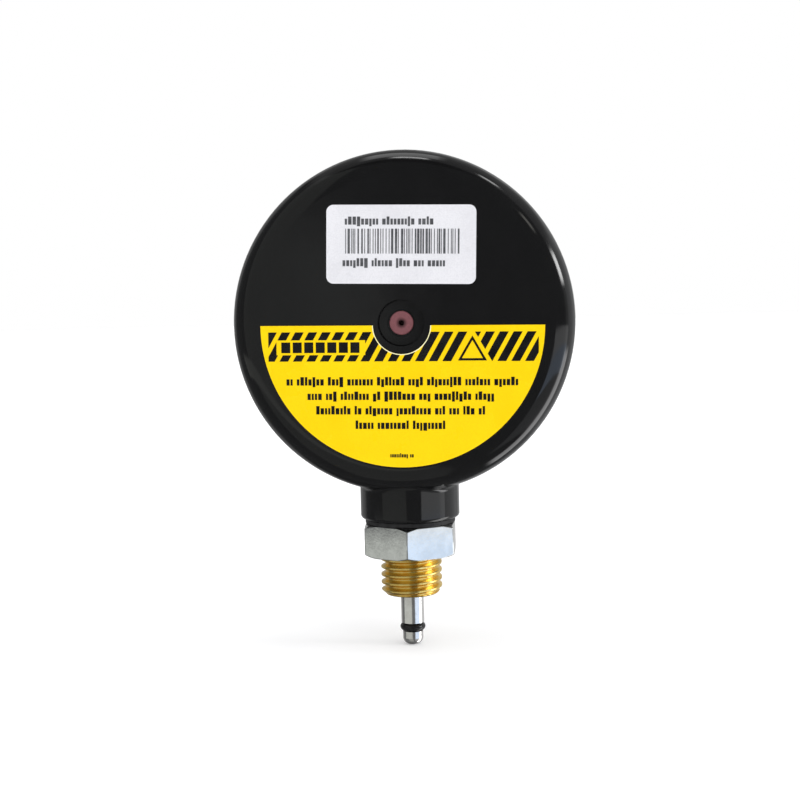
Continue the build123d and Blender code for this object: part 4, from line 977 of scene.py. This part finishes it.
# Soft panels round the object, which shiny surfaces mirror. AZIMUTH panels have ranges of azimuth and
# elevation. RING panels have ranges of the clock angle and of the angle off +Y, where clock 0 is -X
# and 90 is up. After them come the lean of the first range's edges against the second angle, the
# softness of all edges, a brightness and a colour.
PANELS = [
    # the dim room
    ("AZIMUTH", (-180, 180), (-90, 90), 0.0, 1, 0.08, (1.0, 1.0, 1.0)),
    ("AZIMUTH", (-120, 180), (-90, 60), 0.0, 8, 0.08, (0.94, 0.98, 1.0)),
    # the left side, brightest where the lock nut mirrors it, and a narrow slanted edge beside it
    ("AZIMUTH", (-66, -8.4), (-9.6, 60), 0.45, 1.0, 0.20, (0.97, 1.0, 0.93)),
    ("AZIMUTH", (-92, -8.4), (-17, -9.6), 0.45, 1.0, 0.44, (0.97, 1.0, 0.92)),
    ("AZIMUTH", (-66, -8.4), (-60, -17), 0.45, 1.5, 0.18, (0.97, 1.0, 0.92)),
    ("AZIMUTH", (-8.4, -4.7), (-1.5, 9), 0.45, 0.8, 0.08, (0.97, 1.0, 0.95)),
    ("AZIMUTH", (-8.4, -4.7), (-1.5, 4), 0.45, 0.8, 0.18, (0.97, 1.0, 0.95)),
    # the right side: a blue window below a neutral one, and dim light under both
    ("AZIMUTH", (30, 92), (-20, -9.6), 0.0, 1.0, 1.15, (0.64, 0.78, 1.0)),
    ("AZIMUTH", (30, 92), (-9.6, -3), 0.0, 1.0, 0.95, (1.0, 1.0, 1.0)),
    ("AZIMUTH", (30, 92), (-45, -20), 0.0, 3, 0.30, (0.97, 0.98, 1.0)),
    # the walls beside and in front of the gauge
    ("AZIMUTH", (92, 150), (-50, 30), 0.0, 8, 0.28, (0.97, 0.98, 1.0)),
    ("AZIMUTH", (150, 180), (-50, 40), 0.0, 8, 0.45, (1.0, 1.0, 1.0)),
    ("AZIMUTH", (-180, -120), (-40, 40), 0.0, 10, 0.30, (1.0, 1.0, 1.0)),
    # what the case's rounded edge mirrors: a broad glow, then its bright spots
    ("RING", (-45, 125), (78, 140), 0.0, 8, 0.22, (1.0, 1.0, 1.0)),
    ("RING", (-63, -12), (84, 106), 0.0, 5, 2.9, (1.0, 1.0, 1.0)),
    ("RING", (80, 106), (90, 116), 0.0, 6, 1.3, (1.0, 1.0, 1.0)),
    ("RING", (84, 96), (81, 87), 0.0, 3, 6.0, (1.0, 1.0, 1.0)),
    ("RING", (14, 25), (77, 93), 0.0, 4, 12.0, (1.0, 1.0, 1.0)),
    ("RING", (36, 44), (55, 64), 0.0, 3, 1.6, (1.0, 0.98, 0.90)),
    ("RING", (57, 64), (83, 91), 0.0, 3, 5.5, (1.0, 1.0, 1.0)),
]
FILL = (0.99, 0.99, 1.0, 1)
FILL_STRENGTH = 1.03


def ray_angles(nodes):
    """For each kind of panel, the two angles of the way a ray goes, in degrees."""
    direction = nodes.add("ShaderNodeTexCoord")["Generated"]
    parts = nodes.add("ShaderNodeSeparateXYZ", {0: direction})
    across = nodes.math("MULTIPLY", parts[0], -1.0)
    angles = {
        "AZIMUTH": (nodes.math("ARCTAN2", across, parts[1]), nodes.math("ARCSINE", parts[2])),
        "RING": (nodes.math("ARCTAN2", parts[2], across), nodes.math("ARCCOSINE", parts[1])),
    }
    degree = math.degrees(1)
    return {
        kind: [nodes.math("MULTIPLY", angle, degree) for angle in pair]
        for kind, pair in angles.items()
    }


def panel_light(nodes, angles, panel):
    """The light that comes from one panel. A range that ends at -180 or 180 has no edge there."""
    kind, turns, rises, lean, soft, brightness, colour = panel
    turn, climb = angles[kind]
    turn = nodes.math("ADD", turn, nodes.math("MULTIPLY", climb, lean))
    level = brightness
    for angle, (low, high) in ((turn, turns), (climb, rises)):
        if low > -180:
            inside = nodes.between(angle, low - soft / 2, low + soft / 2)
            level = nodes.math("MULTIPLY", inside, level)
        if high < 180:
            inside = nodes.between(angle, high - soft / 2, high + soft / 2, 1.0, 0.0)
            level = nodes.math("MULTIPLY", inside, level)
    return nodes.vector("SCALE", colour, level)


def world():
    """White to the camera, an even fill for matt surfaces, and the panels for shiny ones."""
    studio = bpy.data.worlds.new("studio")
    bpy.context.scene.world = studio
    studio.use_nodes = True
    nodes = Nodes(studio.node_tree)
    angles = ray_angles(nodes)
    total, *others = [panel_light(nodes, angles, panel) for panel in PANELS]
    for light in others:
        total = nodes.vector("ADD", total, light)
    ray = nodes.add("ShaderNodeLightPath")
    panels = nodes.add("ShaderNodeBackground", {"Color": total})[0]
    fill = nodes.add("ShaderNodeBackground", {"Color": FILL, "Strength": FILL_STRENGTH})[0]
    white = nodes.add("ShaderNodeBackground", {"Color": (1, 1, 1, 1)})[0]
    matt = nodes.add("ShaderNodeMixShader", {0: ray["Is Diffuse Ray"], 1: panels, 2: fill})[0]
    seen = nodes.add("ShaderNodeMixShader", {0: ray["Is Camera Ray"], 1: matt, 2: white})[0]
    nodes.add("ShaderNodeOutputWorld", {"Surface": seen})


def softbox(name, azimuth, elevation, distance, size, power):
    """A soft lamp that lights matt surfaces; the panels stand for it in reflections."""
    data = bpy.data.lights.new(name, "AREA")
    data.shape = "DISK"
    data.size = size
    data.energy = power
    lamp = bpy.data.objects.new(name, data)
    bpy.context.scene.collection.objects.link(lamp)
    side = toward(azimuth, elevation)
    lamp.location = GAUGE_CENTRE + side * distance
    lamp.rotation_euler = side.to_track_quat("Z", "Y").to_euler()
    lamp.visible_glossy = False
    lamp.visible_camera = False


FLOOR_RADIUS = 12.0
FLOOR_SEGMENTS = 96


def floor():
    """A pale paper floor under the spigot's tip, which reflections don't show."""
    mesh = bpy.data.meshes.new("floor")
    build = bmesh.new()
    bmesh.ops.create_circle(build, cap_ends=True, segments=FLOOR_SEGMENTS, radius=FLOOR_RADIUS)
    build.to_mesh(mesh)
    build.free()
    paper = grained(
        "floor_paper",
        dark=(0.975, 0.975, 0.975), light=(0.985, 0.985, 0.985), tone=120.0,
        grain=1.0, rough=(0.8, 0.9), depth=1.0,
        Specular_IOR_Level=0.0, Emission_Color=(1, 1, 1, 1), Emission_Strength=0.12,
    )
    mesh.materials.append(paper)
    piece = bpy.data.objects.new("floor", mesh)
    bpy.context.scene.collection.objects.link(piece)
    piece.location = (0, 0, FLOOR_Z)
    piece.visible_glossy = False


caution_label()
serial_label()
dial_print()
tube_piece()
stem_piece()
nut_piece()
camera()
world()
floor()
softbox("key", azimuth=40, elevation=35, distance=0.9, size=0.6, power=0.6)
softbox("front_fill", azimuth=190, elevation=30, distance=1.0, size=0.8, power=0.5)
bpy.context.scene.view_settings.view_transform = "Standard"
